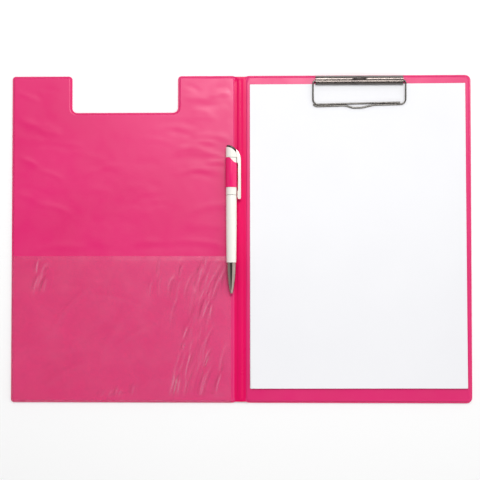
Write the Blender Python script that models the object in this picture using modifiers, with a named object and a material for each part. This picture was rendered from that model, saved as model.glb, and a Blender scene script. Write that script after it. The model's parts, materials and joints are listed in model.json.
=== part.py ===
"""A fold-over A4 clipboard lying open, inside up, with its paper and its pen.

Two foil-covered boards are joined by a soft spine: the cover on the left, with a notch in its top edge and a
clear pocket, and the back board on the right, with a sprung wire clip. A loop at the spine holds the pen.
Metres, +Z up, +Y towards the clip, origin under the middle of the spine.
"""

import math

import bmesh
import bpy
from mathutils import Matrix, Vector

MM = 0.001
CLEARANCE = 0.15 * MM          # between foils, boards and sheets that lie on each other
FIT_GAP = 0.3 * MM             # between moulded and pressed pieces

# The folder
OPEN_WIDTH = 450 * MM
PANEL_LENGTH = 320 * MM
FOIL_THICK = 0.3 * MM
GREYBOARD_THICK = 1.9 * MM
WELD_FLANGE = 1.6 * MM         # flat rim where the two foils are welded
SKIRT_RUN = 0.6 * MM           # how far in the foil climbs over the greyboard's edge
COVER_CORNER_RADIUS = 3 * MM
BOARD_CORNER_RADIUS = 5.5 * MM
FOLD_SPACING = 13.4 * MM       # between the two fold lines
FOLD_DEPTH = 0.475 * MM        # fold lines below the panels' top
PANEL_FOLD_GAP = 0.6 * MM      # from a fold line to its panel
SPINE_FOLD_GAP = 0.2 * MM      # from a fold line to the spine's foils
SPINE_SHORTER = 1 * MM         # at each end

# The notch in the cover
NOTCH_WIDTH = 104.3 * MM
NOTCH_DEPTH = 36.1 * MM
NOTCH_FROM_FREE_EDGE = 59.3 * MM
NOTCH_TAB_RADIUS = 3.5 * MM
NOTCH_INNER_RADIUS = 5 * MM

# The clear pocket on the cover
POCKET_HEIGHT = 143 * MM
POCKET_FROM_FOLD = 1.8 * MM
POCKET_SKIRT_OFFSET = 0.5 * MM

# The paper
PAPER_WIDTH = 210 * MM
PAPER_LENGTH = 297 * MM
PAPER_STACK_THICK = 0.3 * MM
TOP_SHEET_THICK = 0.1 * MM
PAPER_FROM_FOLD = 2.6 * MM

# The clip on the back board
CHANNEL_LENGTH = 85.4 * MM
CHANNEL_WIDTH = 9 * MM
CHANNEL_HEIGHT = 5.5 * MM
CHANNEL_WALL = 0.6 * MM
CHANNEL_FROM_EDGE = 0.7 * MM
GROOVE_DEPTH = 0.8 * MM
GROOVE_LIP_DROP = 0.1 * MM     # the groove's front lip below the channel's top
REAR_FOOT_HEIGHT = 1.2 * MM    # straight part of the rear wall
REAR_SLOPE_RUN = 1.9 * MM
FRONT_SLOPE_RUN = 0.4 * MM
SHOULDER_DROP = 0.6 * MM
SHOULDER_RADIUS = 0.8 * MM
CREASE_RADIUS = 0.5 * MM
CHANNEL_TOP_SHAPE = (          # distance from the rear, depth, share of the dome's rise, radius
    (3.1 * MM, 0.0, 1.0, 0.8 * MM),
    (4.6 * MM, 0.0, 0.0, 0.4 * MM),
    (5.2 * MM, GROOVE_DEPTH, 0.0, 0.3 * MM),
    (6.2 * MM, GROOVE_DEPTH, 0.0, 0.3 * MM),
    (6.8 * MM, GROOVE_LIP_DROP, 0.0, 0.4 * MM),
)
DOME_REACH = 0.6               # how far the dome pushes the rear shoulder out, as a share of its rise
DOME_SHOULDER = 0.8            # and how far up
DOME_LENGTH = 16 * MM
DOME_RISE = 0.9 * MM
BASE_PLATE_THICK = 0.6 * MM
WIRE_THICK = 1.6 * MM
PIVOT_FROM_REAR = 5 * MM
SPARE_UNDER_WIRE = 0.8 * MM    # between the rivet heads and the wire they let pass
SPARE_OVER_WIRE = 0.25 * MM    # between that wire and the channel's groove
BAIL_WIDTH = 90.3 * MM         # between the arms' centre lines
BAIL_REACH = 23.2 * MM         # from the pivot to the middle of the front bars
BAIL_SKEW = 1.9 * MM           # how much shorter the right arm is
BAIL_TOP_RADIUS = 3 * MM
BAIL_CORNER_RADIUS = 5 * MM
LIFT_DEPTH = 2.5 * MM          # finger bulge in the front wire
LIFT_LENGTH = 29 * MM
LIFT_SHAPE = (                 # share of its length from the middle, share of its depth, radius
    (0.52, 0.0, 9 * MM),
    (0.07, 1.0, 7 * MM),
    (-0.2, 1.0, 7 * MM),
    (-0.48, 0.0, 9 * MM),
)
FRONT_BAR_CURL = math.radians(45)   # how far the front wire's end follows the left corner
TORSION_LENGTH = 60 * MM
TORSION_KINK = 1.3 * MM
RIVET_SPACING = 56 * MM
RIVET_RADIUS = 1.6 * MM
RIVET_HEAD_RADIUS = 2.6 * MM
RIVET_HEAD_THICK = 0.7 * MM
RIVET_HEAD_EDGE = 0.2 * MM
RIVET_HEAD_SLOPE = 0.8 * MM
RIVET_BACK_RADIUS = 2.2 * MM
RIVET_BACK_THICK = 0.5 * MM
RIVET_RECESS = 0.1 * MM

# The pen, measured along its axis from the end of its nozzle
PEN_FROM_FOLD = 2 * MM
PEN_TIP_Y = -53.4 * MM
BARREL_RADIUS = 5.2 * MM
BARREL_TAPER = 0.45 * MM       # how much thinner the barrel is at the nozzle
BARREL_TAPER_LENGTH = 45 * MM
BARREL_WALL = 1.1 * MM
NOZZLE_LENGTH = 29.7 * MM
NOZZLE_MOUTH_RADIUS = 1.5 * MM
NOZZLE_MOUTH_LENGTH = 0.6 * MM
NOZZLE_BORE = 1.3 * MM
NOZZLE_SWELL = 0.75            # power of the sine that shapes its cone
BARREL_JOINT_AT = 95.6 * MM
SPIGOT_LENGTH = 6 * MM
SPIGOT_WALL = 0.7 * MM
HEAD_AT = 132.3 * MM
HEAD_STEP = 0.2 * MM           # how far the head stands out from the barrel
HEAD_WALL = 0.6 * MM
HEAD_ARC_AT = 129.7 * MM       # centre of the arc that rounds the head and the pen clip
PEN_CLIP_GAP = 0.9 * MM        # from the loop to the clip's bar
PEN_CLIP_THICK = 2.7 * MM
PEN_CLIP_WIDTH = 3.8 * MM
PEN_CLIP_END_AT = 91.8 * MM
PEN_CLIP_PAD_LENGTH = 9 * MM
BUTTON_SHOWS = 2.3 * MM
BUTTON_TRAVEL = 2 * MM
BUTTON_STEM_RADIUS = 1.6 * MM
BUTTON_STEM_AT = 119 * MM
THRUST_TUBE_GAP = 0.6 * MM     # to the barrel's bore
THRUST_TUBE_CHAMFER = 0.6 * MM
THRUST_TUBE_AT = 111 * MM
THRUST_TUBE_LENGTH = 16 * MM
REFILL_RADIUS = 1.5 * MM
REFILL_WALL = 0.4 * MM
REFILL_OVERLAP = 5 * MM        # how deep the refill sits in the thrust tube
REFILL_TIP_RADIUS = 1.1 * MM
REFILL_TIP_LENGTH = 9.4 * MM
REFILL_TIP_RECESS = 0.6 * MM
COLLAR_RADIUS = 2.6 * MM
SPRING_AT = 20.4 * MM
SPRING_LENGTH = 15 * MM
SPRING_RADIUS = 2.25 * MM
SPRING_WIRE = 0.4 * MM
SPRING_TURNS = 6

# The loop that holds the pen
LOOP_LENGTH = 29 * MM
LOOP_START_AT = 103.1 * MM
LOOP_THICK = 0.3 * MM
LOOP_GAP = 0.2 * MM            # around the barrel
LOOP_CUTAWAY = 5 * MM          # how much lower its top edge is beside the pen clip

# Places worked out from the sizes above
HALF_WIDTH = OPEN_WIDTH / 2
HALF_LENGTH = PANEL_LENGTH / 2
FOLD_X = FOLD_SPACING / 2
PANEL_X = FOLD_X + PANEL_FOLD_GAP
GREYBOARD_Z = FOIL_THICK + CLEARANCE
INNER_FOIL_Z = GREYBOARD_Z + GREYBOARD_THICK + CLEARANCE
PANEL_TOP = INNER_FOIL_Z + FOIL_THICK
FOLD_Z = PANEL_TOP - FOLD_DEPTH
SKIRT_RISE = INNER_FOIL_Z - GREYBOARD_Z
EDGE_INSET = WELD_FLANGE + SKIRT_RUN + CLEARANCE
PAPER_Z = PANEL_TOP + CLEARANCE
TOP_SHEET_Z = PAPER_Z + PAPER_STACK_THICK + CLEARANCE
PAPER_TOP = TOP_SHEET_Z + TOP_SHEET_THICK
CHANNEL_REAR = HALF_LENGTH - CHANNEL_FROM_EDGE
CHANNEL_FRONT = CHANNEL_REAR - CHANNEL_WIDTH
CHANNEL_FOOT = PANEL_TOP + CLEARANCE
CHANNEL_TOP = CHANNEL_FOOT + CHANNEL_HEIGHT
CLIP_X = (PANEL_X + HALF_WIDTH) / 2
RIVET_HEAD_Z = CHANNEL_FOOT + BASE_PLATE_THICK + CLEARANCE
RIVET_TOP = RIVET_HEAD_Z + RIVET_HEAD_THICK
SPARE_HEIGHT = CHANNEL_TOP - GROOVE_DEPTH - CHANNEL_WALL - RIVET_TOP - WIRE_THICK
UNDER_SHARE = SPARE_UNDER_WIRE / (SPARE_UNDER_WIRE + SPARE_OVER_WIRE)
PIVOT_Z = RIVET_TOP + SPARE_HEIGHT * UNDER_SHARE + WIRE_THICK / 2
PIVOT = Vector((CLIP_X, CHANNEL_REAR - PIVOT_FROM_REAR, PIVOT_Z))
BAIL_FRONT = PIVOT.y - BAIL_REACH
BAIL_FRONT_Z = PAPER_TOP + CLEARANCE + WIRE_THICK / 2
BAR_PITCH = WIRE_THICK + CLEARANCE
PAPER_REAR = CHANNEL_FRONT - FIT_GAP
PAPER_X = FOLD_X + PAPER_FROM_FOLD + PAPER_WIDTH / 2
PAPER_Y = PAPER_REAR - PAPER_LENGTH / 2
BARREL_END_RADIUS = BARREL_RADIUS - BARREL_TAPER
BARREL_BORE = BARREL_RADIUS - BARREL_WALL
THRUST_TUBE_RADIUS = BARREL_BORE - THRUST_TUBE_GAP
LOOP_BORE = BARREL_RADIUS + LOOP_GAP
LOOP_RADIUS = LOOP_BORE + LOOP_THICK
PEN_X = -FOLD_X - PEN_FROM_FOLD
PEN_Z = PANEL_TOP + CLEARANCE + LOOP_RADIUS
HEAD_RADIUS = BARREL_RADIUS + HEAD_STEP
HEAD_BORE = HEAD_RADIUS - HEAD_WALL
PEN_CLIP_INNER = LOOP_RADIUS + PEN_CLIP_GAP
PEN_CLIP_OUTER = PEN_CLIP_INNER + PEN_CLIP_THICK
HEAD_ARC_RADIUS = HEAD_RADIUS + PEN_CLIP_OUTER


# Building blocks

def start_empty_scene():
    """Removes every object, and makes the collections for the parts and for their cutters."""
    for old in list(bpy.data.objects):
        bpy.data.objects.remove(old, do_unlink=True)
    made = []
    for name in ("clipboard", "cutters"):
        collection = bpy.data.collections.new(name)
        bpy.context.scene.collection.children.link(collection)
        made.append(collection)
    return made


PARTS, CUTTERS = start_empty_scene()


def add_object(name, data, collection=None):
    obj = bpy.data.objects.new(name, data)
    (collection or PARTS).objects.link(obj)
    return obj


def mesh_object(name, bm, collection=None):
    """An object from a bmesh, which is freed."""
    mesh = bpy.data.meshes.new(name)
    bm.to_mesh(mesh)
    bm.free()
    return add_object(name, mesh, collection)


def axis_empty(name, location, parent=None):
    """An empty on a joint's axis, for the pieces that move on it."""
    empty = add_object(name, None)
    empty.empty_display_size = 10 * MM
    empty.location = location
    ride_on(empty, parent)
    return empty


def ride_on(obj, parent):
    """Parents an object without moving it."""
    if parent is None:
        return
    bpy.context.view_layer.update()
    obj.parent = parent
    obj.matrix_parent_inverse = parent.matrix_world.inverted()


def finish(obj, parent, colour, roughness, metallic=0.0, smooth=False):
    """Gives a part its parent and its own material, and shades it smooth if it is round."""
    material = bpy.data.materials.new(obj.name)
    material.use_nodes = True
    shader = material.node_tree.nodes["Principled BSDF"]
    shader.inputs["Base Color"].default_value = (*colour, 1.0)
    shader.inputs["Roughness"].default_value = roughness
    shader.inputs["Metallic"].default_value = metallic
    obj.data.materials.append(material)
    if smooth:
        obj.data.shade_smooth()
    ride_on(obj, parent)
    return obj


def filleted(corners, closed=True, steps=6):
    """Points of a path through (x, y, z, radius) corners, with each radius drawn as an arc."""
    points = []
    for i, (x, y, z, radius) in enumerate(corners):
        here = Vector((x, y, z))
        if radius <= 0 or (not closed and i in (0, len(corners) - 1)):
            points.append(here)
            continue
        back = (Vector(corners[i - 1][:3]) - here).normalized()
        ahead = (Vector(corners[(i + 1) % len(corners)][:3]) - here).normalized()
        half = back.angle(ahead) / 2
        centre = here + (back + ahead).normalized() * (radius / math.sin(half))
        spoke = here + back * (radius / math.tan(half)) - centre
        for k in range(steps + 1):
            turn = Matrix.Rotation((math.pi - 2 * half) * k / steps, 3, -back.cross(ahead))
            points.append(centre + turn @ spoke)
    return points


def flat(corners):
    """Adds the z that filleted needs to (x, y, radius) corners."""
    return [(x, y, 0.0, radius) for x, y, radius in corners]


def outline_face(corners, z):
    """A bmesh with one face, facing up, inside filleted corners."""
    bm = bmesh.new()
    face = bm.faces.new([bm.verts.new((p.x, p.y, z)) for p in filleted(flat(corners))])
    bm.normal_update()
    if face.normal.z < 0:
        face.normal_flip()
    return bm, face


def thicken(obj, thickness, offset=1.0):
    """Solidify; offset 1 grows it along its normals, -1 against them and 0 both ways."""
    solid = obj.modifiers.new("thickness", "SOLIDIFY")
    solid.thickness = thickness
    solid.offset = offset
    solid.use_even_offset = True
    return obj


def slab(name, corners, z, thickness, collection=None):
    """A flat piece of an outline's shape, from z upwards."""
    bm, _ = outline_face(corners, z)
    return thicken(mesh_object(name, bm, collection), thickness)


def formed_sheet(name, corners, z, flange, cuts):
    """Foil with a flat rim at z that climbs inside it to lie over the greyboard.

    Each cut is a point and a normal: what lies beyond that plane is trimmed off, rim and all.
    """
    bm, face = outline_face(corners, z)
    for width in (flange, SKIRT_RUN):
        bmesh.ops.inset_region(
            bm, faces=[face], thickness=width, use_boundary=True, use_even_offset=True
        )
    bmesh.ops.translate(bm, vec=(0.0, 0.0, SKIRT_RISE), verts=face.verts)
    for point, normal in cuts:
        everything = bm.verts[:] + bm.edges[:] + bm.faces[:]
        bmesh.ops.bisect_plane(
            bm, geom=everything, plane_co=point, plane_no=normal, clear_outer=True
        )
    bm.normal_update()
    return thicken(mesh_object(name, bm), FOIL_THICK)


def box(name, low, high, collection=None):
    """A box between two corners, with its origin at its centre."""
    low, high = Vector(low), Vector(high)
    bm = bmesh.new()
    bmesh.ops.create_cube(bm, size=1)
    bmesh.ops.scale(bm, vec=high - low, verts=bm.verts)
    obj = mesh_object(name, bm, collection)
    obj.location = (low + high) / 2
    return obj


def post(name, x, y, low, high, radius, collection=None):
    """An upright cylinder."""
    bm = bmesh.new()
    bmesh.ops.create_cone(
        bm, cap_ends=True, segments=24, radius1=radius, radius2=radius, depth=high - low
    )
    obj = mesh_object(name, bm, collection)
    obj.location = (x, y, (low + high) / 2)
    return obj


def turned(name, profile, segments=32, closed=False, collection=None):
    """A turned piece from (radius, height) points that run down its outer side."""
    bm = bmesh.new()
    verts = [bm.verts.new((r, 0.0, h)) for r, h in profile]
    for a, b in zip(verts, verts[1:]):
        bm.edges.new((a, b))
    if closed:
        bm.edges.new((verts[-1], verts[0]))
    obj = mesh_object(name, bm, collection)
    screw = obj.modifiers.new("turn", "SCREW")
    screw.steps = segments
    screw.render_steps = segments
    screw.use_merge_vertices = True
    screw.merge_threshold = 0.01 * MM
    screw.use_smooth_shade = True
    return obj


def wire(name, points, thickness, resolution=2):
    """A round wire along points."""
    curve = bpy.data.curves.new(name, "CURVE")
    curve.dimensions = "3D"
    curve.bevel_depth = thickness / 2
    curve.bevel_resolution = resolution
    curve.use_fill_caps = True
    spline = curve.splines.new("POLY")
    spline.points.add(len(points) - 1)
    for slot, p in zip(spline.points, points):
        slot.co = (*p, 1.0)
    return add_object(name, curve)


def cutter(obj):
    """Marks an object as a tool and not a part."""
    obj.hide_render = True
    obj.display_type = "WIRE"
    return obj


def combine(obj, tool, operation="DIFFERENCE"):
    boolean = obj.modifiers.new(tool.name, "BOOLEAN")
    boolean.operation = operation
    boolean.object = tool
    return obj


# The folder's panels

def board_corners(inset=0.0, inner_x=PANEL_X):
    """The back board's outline, as (x, y, radius) corners."""
    far, end = HALF_WIDTH - inset, HALF_LENGTH - inset
    radius = BOARD_CORNER_RADIUS - inset
    return [(inner_x, -end, 0), (far, -end, radius), (far, end, radius), (inner_x, end, 0)]


def cover_corners(inset=0.0, inner_x=PANEL_X):
    """The cover's outline, with its notch."""
    far, end = HALF_WIDTH - inset, HALF_LENGTH - inset
    radius = COVER_CORNER_RADIUS - inset
    tab_radius = NOTCH_TAB_RADIUS - inset
    inner_radius = NOTCH_INNER_RADIUS + inset
    notch_left = NOTCH_FROM_FREE_EDGE - HALF_WIDTH - inset
    notch_right = notch_left + NOTCH_WIDTH + 2 * inset
    notch_end = HALF_LENGTH - NOTCH_DEPTH - inset
    return [
        (-far, -end, radius),
        (-inner_x, -end, 0),
        (-inner_x, end, 0),
        (notch_right, end, tab_radius),
        (notch_right, notch_end, inner_radius),
        (notch_left, notch_end, inner_radius),
        (notch_left, end, tab_radius),
        (-far, end, radius),
    ]


def outer_foil(name, corners, side, parent, colour):
    """The foil underneath, with a lip that closes the panel's spine edge."""
    foil = slab(name, corners(), 0.0, FOIL_THICK)
    half = HALF_LENGTH - EDGE_INSET - FIT_GAP
    edges = sorted((side * PANEL_X, side * (PANEL_X + FOIL_THICK)))
    lip = box(
        name + "_lip",
        (edges[0], -half, FOIL_THICK / 2),
        (edges[1], half, INNER_FOIL_Z - CLEARANCE),
        CUTTERS,
    )
    combine(foil, cutter(lip), "UNION")
    return finish(foil, parent, colour, 0.45)


def greyboard(name, corners, parent):
    inner_x = PANEL_X + FOIL_THICK + CLEARANCE
    board = slab(name, corners(EDGE_INSET, inner_x), GREYBOARD_Z, GREYBOARD_THICK)
    return finish(board, parent, (0.32, 0.30, 0.27), 0.9)


def inner_foil(name, corners, side, parent, colour):
    """The foil on top, which runs down to the welded rim on its free sides."""
    untrimmed = corners(0.0, PANEL_X - 2 * EDGE_INSET)
    spine_edge = ((side * PANEL_X, 0.0, 0.0), (-side, 0.0, 0.0))
    foil = formed_sheet(name, untrimmed, GREYBOARD_Z, WELD_FLANGE, [spine_edge])
    return finish(foil, parent, colour, 0.4)


def spine(parent, colour):
    half, end = FOLD_X - SPINE_FOLD_GAP, HALF_LENGTH - SPINE_SHORTER
    inner_z = FOLD_Z + CLEARANCE / 2
    outer_z = FOLD_Z - CLEARANCE / 2 - FOIL_THICK
    for name, z in (("spine_outer_foil", outer_z), ("spine_inner_foil", inner_z)):
        strip = box(name, (-half, -end, z), (half, end, z + FOIL_THICK))
        finish(strip, parent, colour, 0.25)


def pocket(parent):
    """Clear film over the lower cover, open at its top and at the spine."""
    mouth = POCKET_HEIGHT - HALF_LENGTH
    beyond_x, beyond_y = PANEL_X - 2 * EDGE_INSET, mouth + 2 * EDGE_INSET
    corners = [
        (-HALF_WIDTH, -HALF_LENGTH, COVER_CORNER_RADIUS),
        (-beyond_x, -HALF_LENGTH, 0),
        (-beyond_x, beyond_y, 0),
        (-HALF_WIDTH, beyond_y, 0),
    ]
    film_z = GREYBOARD_Z + FOIL_THICK + CLEARANCE
    cuts = [
        ((-PANEL_X - POCKET_FROM_FOLD, 0.0, 0.0), (1.0, 0.0, 0.0)),
        ((0.0, mouth, 0.0), (0.0, 1.0, 0.0)),
    ]
    flange = WELD_FLANGE - POCKET_SKIRT_OFFSET
    film = formed_sheet("pocket_film", corners, film_z, flange, cuts)
    return finish(film, parent, (0.9, 0.55, 0.66), 0.15)


def paper(parent):
    for name, z, thick in (
        ("paper_stack", PAPER_Z, PAPER_STACK_THICK),
        ("paper_top_sheet", TOP_SHEET_Z, TOP_SHEET_THICK),
    ):
        low = (PAPER_X - PAPER_WIDTH / 2, PAPER_Y - PAPER_LENGTH / 2, z)
        high = (PAPER_X + PAPER_WIDTH / 2, PAPER_Y + PAPER_LENGTH / 2, z + thick)
        finish(box(name, low, high), parent, (0.93, 0.93, 0.94), 0.8)


# The wire clip

def channel_section(x):
    """The channel's outer surface at x from its middle, rear foot to front foot."""
    share = min(1.0, abs(x) / (DOME_LENGTH / 2))
    rise = DOME_RISE * math.cos(share * math.pi / 2) ** 2
    shoulder = CHANNEL_TOP - SHOULDER_DROP
    corners = [
        (CLIP_X + x, CHANNEL_REAR, CHANNEL_FOOT, 0),
        (CLIP_X + x, CHANNEL_REAR, CHANNEL_FOOT + REAR_FOOT_HEIGHT, CREASE_RADIUS),
        (
            CLIP_X + x,
            CHANNEL_REAR - REAR_SLOPE_RUN + rise * DOME_REACH,
            shoulder + rise * DOME_SHOULDER,
            SHOULDER_RADIUS,
        ),
    ]
    for from_rear, depth, dome_share, radius in CHANNEL_TOP_SHAPE:
        z = CHANNEL_TOP - depth + rise * dome_share
        corners.append((CLIP_X + x, CHANNEL_REAR - from_rear, z, radius))
    corners.append((CLIP_X + x, CHANNEL_FRONT + FRONT_SLOPE_RUN, shoulder, SHOULDER_RADIUS))
    corners.append((CLIP_X + x, CHANNEL_FRONT, CHANNEL_FOOT, 0))
    return filleted(corners, closed=False, steps=2)


def channel(parent):
    """The pressed cover over the clip's spring: one section swept along it, with a dome in the middle."""
    half, dome = CHANNEL_LENGTH / 2, DOME_LENGTH / 2
    stations = [-half, *(dome * k / 4 for k in range(-4, 5)), half]
    bm = bmesh.new()
    rows = [[bm.verts.new(p) for p in channel_section(x)] for x in stations]
    for row, following in zip(rows, rows[1:]):
        for k in range(len(row) - 1):
            bm.faces.new((row[k], row[k + 1], following[k + 1], following[k]))
    obj = mesh_object("clip_channel", bm)
    thicken(obj, CHANNEL_WALL, -1.0)
    return finish(obj, parent, (0.72, 0.70, 0.68), 0.15, 1.0, smooth=True)


def rivets(parent, drilled):
    """Two rivets that hold the clip to the board, and their holes in what they pass through."""
    back_top = RIVET_RECESS + RIVET_BACK_THICK
    profile = [
        (0.0, RIVET_TOP),
        (RIVET_HEAD_RADIUS - RIVET_HEAD_SLOPE, RIVET_TOP),
        (RIVET_HEAD_RADIUS, RIVET_HEAD_Z + RIVET_HEAD_EDGE),
        (RIVET_HEAD_RADIUS, RIVET_HEAD_Z),
        (RIVET_RADIUS, RIVET_HEAD_Z),
        (RIVET_RADIUS, back_top),
        (RIVET_BACK_RADIUS, back_top),
        (RIVET_BACK_RADIUS, RIVET_RECESS),
        (0.0, RIVET_RECESS),
    ]
    rivet_y = (CHANNEL_REAR + CHANNEL_FRONT) / 2
    for label, side in (("left", -1), ("right", 1)):
        x = CLIP_X + side * RIVET_SPACING / 2
        rivet = turned("clip_rivet_" + label, profile, 24)
        rivet.location = (x, rivet_y, 0.0)
        finish(rivet, parent, (0.7, 0.7, 0.72), 0.3, 1.0)
        shank_hole = post(
            "rivet_hole_" + label, x, rivet_y, -FIT_GAP, RIVET_HEAD_Z - CLEARANCE / 2,
            RIVET_RADIUS + FIT_GAP, CUTTERS,
        )
        head_hole = post(
            "rivet_seat_" + label, x, rivet_y, -FIT_GAP, back_top + FIT_GAP,
            RIVET_BACK_RADIUS + FIT_GAP, CUTTERS,
        )
        for part in drilled:
            combine(part, cutter(shank_hole))
            if part.name in ("board_outer_foil", "board_greyboard"):
                combine(part, cutter(head_hole))


def base_plate(parent):
    margin = CHANNEL_WALL + 2 * FIT_GAP
    half = CHANNEL_LENGTH / 2 - FIT_GAP
    plate = box(
        "clip_base_plate",
        (CLIP_X - half, CHANNEL_FRONT + margin, CHANNEL_FOOT),
        (CLIP_X + half, CHANNEL_REAR - margin, CHANNEL_FOOT + BASE_PLATE_THICK),
    )
    return finish(plate, parent, (0.6, 0.6, 0.6), 0.35, 1.0)


def bar_y(x, row):
    """The front bars' y at x; row is 1 for the rear bar and -1 for the front one."""
    return BAIL_FRONT + BAIL_SKEW * (x - CLIP_X) / BAIL_WIDTH + row * BAR_PITCH / 2


def bail(parent):
    """The sprung wire frame: each of its two wires is a stub in the channel, an arm and a front bar."""
    half = BAIL_WIDTH / 2
    left, right = CLIP_X - half, CLIP_X + half
    stub = TORSION_LENGTH / 2 + FIT_GAP
    bar_z = BAIL_FRONT_Z
    rear_bar_end = right - BAIL_CORNER_RADIUS - FIT_GAP
    rear_wire = [
        (CLIP_X - stub, PIVOT.y, PIVOT.z, 0),
        (left, PIVOT.y, PIVOT.z, BAIL_TOP_RADIUS),
        (left, bar_y(left, 1), bar_z, BAIL_CORNER_RADIUS),
        (rear_bar_end, bar_y(rear_bar_end, 1), bar_z, 0),
    ]
    curl_centre = (left + BAIL_CORNER_RADIUS, bar_y(left, 1) + BAIL_CORNER_RADIUS)
    curl = []
    for k in range(5):
        turn = FRONT_BAR_CURL * k / 4
        reach = BAIL_CORNER_RADIUS + BAR_PITCH
        x, y = curl_centre[0] - reach * math.sin(turn), curl_centre[1] - reach * math.cos(turn)
        curl.append((x, y, bar_z, 0))
    lift = []
    for along, deep, radius in LIFT_SHAPE:
        x = CLIP_X + LIFT_LENGTH * along
        lift.append((x, bar_y(x, -1) - LIFT_DEPTH * deep, bar_z, radius))
    front_wire = [
        (CLIP_X + stub, PIVOT.y, PIVOT.z, 0),
        (right, PIVOT.y, PIVOT.z, BAIL_TOP_RADIUS),
        (right, bar_y(right, -1), bar_z, BAIL_CORNER_RADIUS),
        *lift,
        *curl,
    ]
    for name, corners in (("bail_left_wire", rear_wire), ("bail_right_wire", front_wire)):
        obj = wire(name, filleted(corners, closed=False, steps=5), WIRE_THICK)
        finish(obj, parent, (0.75, 0.74, 0.72), 0.12, 1.0)


def torsion_wire(parent):
    """The spring inside the channel, held at its kink under the dome."""
    half, kink = TORSION_LENGTH / 2, DOME_LENGTH / 4
    lifted = (PIVOT.y + TORSION_KINK, PIVOT.z + TORSION_KINK / 5)
    corners = [
        (CLIP_X - half, PIVOT.y, PIVOT.z, 0),
        (CLIP_X - kink - 2 * MM, PIVOT.y, PIVOT.z, 1.5 * MM),
        (CLIP_X - kink, *lifted, 1.5 * MM),
        (CLIP_X + kink, *lifted, 1.5 * MM),
        (CLIP_X + kink + 2 * MM, PIVOT.y, PIVOT.z, 1.5 * MM),
        (CLIP_X + half, PIVOT.y, PIVOT.z, 0),
    ]
    obj = wire("clip_torsion_wire", filleted(corners, closed=False, steps=3), WIRE_THICK)
    return finish(obj, parent, (0.5, 0.5, 0.52), 0.3, 1.0)


# The pen

def on_pen(obj, parent, colour, roughness, metallic=0.0):
    """Lays a turned piece along the pen's axis."""
    obj.location = (PEN_X, PEN_TIP_Y, PEN_Z)
    obj.rotation_euler = (-math.pi / 2, 0.0, 0.0)
    return finish(obj, parent, colour, roughness, metallic)


def nozzle(parent):
    """The metal nozzle: a swelling cone with a straight mouth, and a spigot for the barrel."""
    base, mouth = BARREL_END_RADIUS, NOZZLE_MOUTH_RADIUS
    cone = NOZZLE_LENGTH - NOZZLE_MOUTH_LENGTH
    swell = []
    steps = 8
    for k in range(steps, 0, -1):
        share = k / steps
        radius = mouth + (base - mouth) * math.sin(share * math.pi / 2) ** NOZZLE_SWELL
        swell.append((radius, NOZZLE_MOUTH_LENGTH + cone * share))
    spigot = BARREL_BORE - FIT_GAP
    spring_room = SPRING_RADIUS + SPRING_WIRE / 2 + FIT_GAP
    refill_room = REFILL_RADIUS + FIT_GAP
    refill_at = REFILL_TIP_RECESS + REFILL_TIP_LENGTH
    profile = [
        (spring_room, NOZZLE_LENGTH + SPIGOT_LENGTH),
        (spigot, NOZZLE_LENGTH + SPIGOT_LENGTH),
        (spigot, NOZZLE_LENGTH),
        *swell,
        (mouth, NOZZLE_MOUTH_LENGTH),
        (mouth, 0.2 * MM),
        (mouth - 0.1 * MM, 0.0),
        (NOZZLE_BORE, 0.0),
        (NOZZLE_BORE, refill_at - BUTTON_TRAVEL - 1.0 * MM),
        (refill_room, refill_at - BUTTON_TRAVEL - FIT_GAP),
        (refill_room, SPRING_AT - FIT_GAP),
        (spring_room, SPRING_AT - FIT_GAP),
    ]
    obj = turned("pen_nozzle", profile, closed=True)
    return on_pen(obj, parent, (0.5, 0.46, 0.42), 0.15, 1.0)


def barrels(parent):
    """The two barrel tubes, joined by a spigot where the seam shows."""
    low, joint, head = NOZZLE_LENGTH + FIT_GAP, BARREL_JOINT_AT, HEAD_AT - FIT_GAP
    spigot = BARREL_BORE - FIT_GAP
    lower = [
        (spigot - SPIGOT_WALL, joint + SPIGOT_LENGTH),
        (spigot, joint + SPIGOT_LENGTH),
        (spigot, joint - FIT_GAP / 2),
        (BARREL_RADIUS, joint - FIT_GAP / 2),
        (BARREL_RADIUS, low + BARREL_TAPER_LENGTH),
        (BARREL_END_RADIUS, low),
        (BARREL_BORE, low),
        (BARREL_BORE, joint - SPIGOT_LENGTH),
        (spigot - SPIGOT_WALL, joint - SPIGOT_LENGTH + 1 * MM),
    ]
    head_spigot = HEAD_BORE - FIT_GAP
    upper = [
        (BARREL_BORE, head + 2 * MM),
        (head_spigot, head + 2 * MM),
        (head_spigot, head),
        (BARREL_RADIUS, head),
        (BARREL_RADIUS, joint + FIT_GAP / 2),
        (BARREL_BORE, joint + FIT_GAP / 2),
    ]
    for name, profile in (("pen_lower_barrel", lower), ("pen_upper_barrel", upper)):
        on_pen(turned(name, profile, closed=True), parent, (0.93, 0.93, 0.9), 0.3)


def arc_points(radius, first, last, steps=10):
    """Points of an arc about the head's arc centre, in plan, by its angle from +X."""
    centre = Vector((PEN_X - HEAD_RADIUS, PEN_TIP_Y + HEAD_ARC_AT))
    turns = (first + (last - first) * k / steps for k in range(steps + 1))
    return [centre + radius * Vector((math.cos(t), math.sin(t))) for t in turns]


def above_arc_cutter(name, radius):
    """Clears away what lies beyond an arc over the head."""
    reach = 4 * HEAD_RADIUS
    arc = arc_points(radius, 0.0, math.radians(100))
    top = PEN_TIP_Y + HEAD_ARC_AT + 2 * HEAD_ARC_RADIUS
    corners = [(p.x, p.y, 0) for p in arc]
    corners += [(PEN_X - reach, arc[-1].y, 0), (PEN_X - reach, top, 0), (PEN_X + reach, top, 0)]
    corners += [(PEN_X + reach, arc[0].y, 0)]
    return cutter(slab(name, corners, PEN_Z - reach, 2 * reach, CUTTERS))


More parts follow.
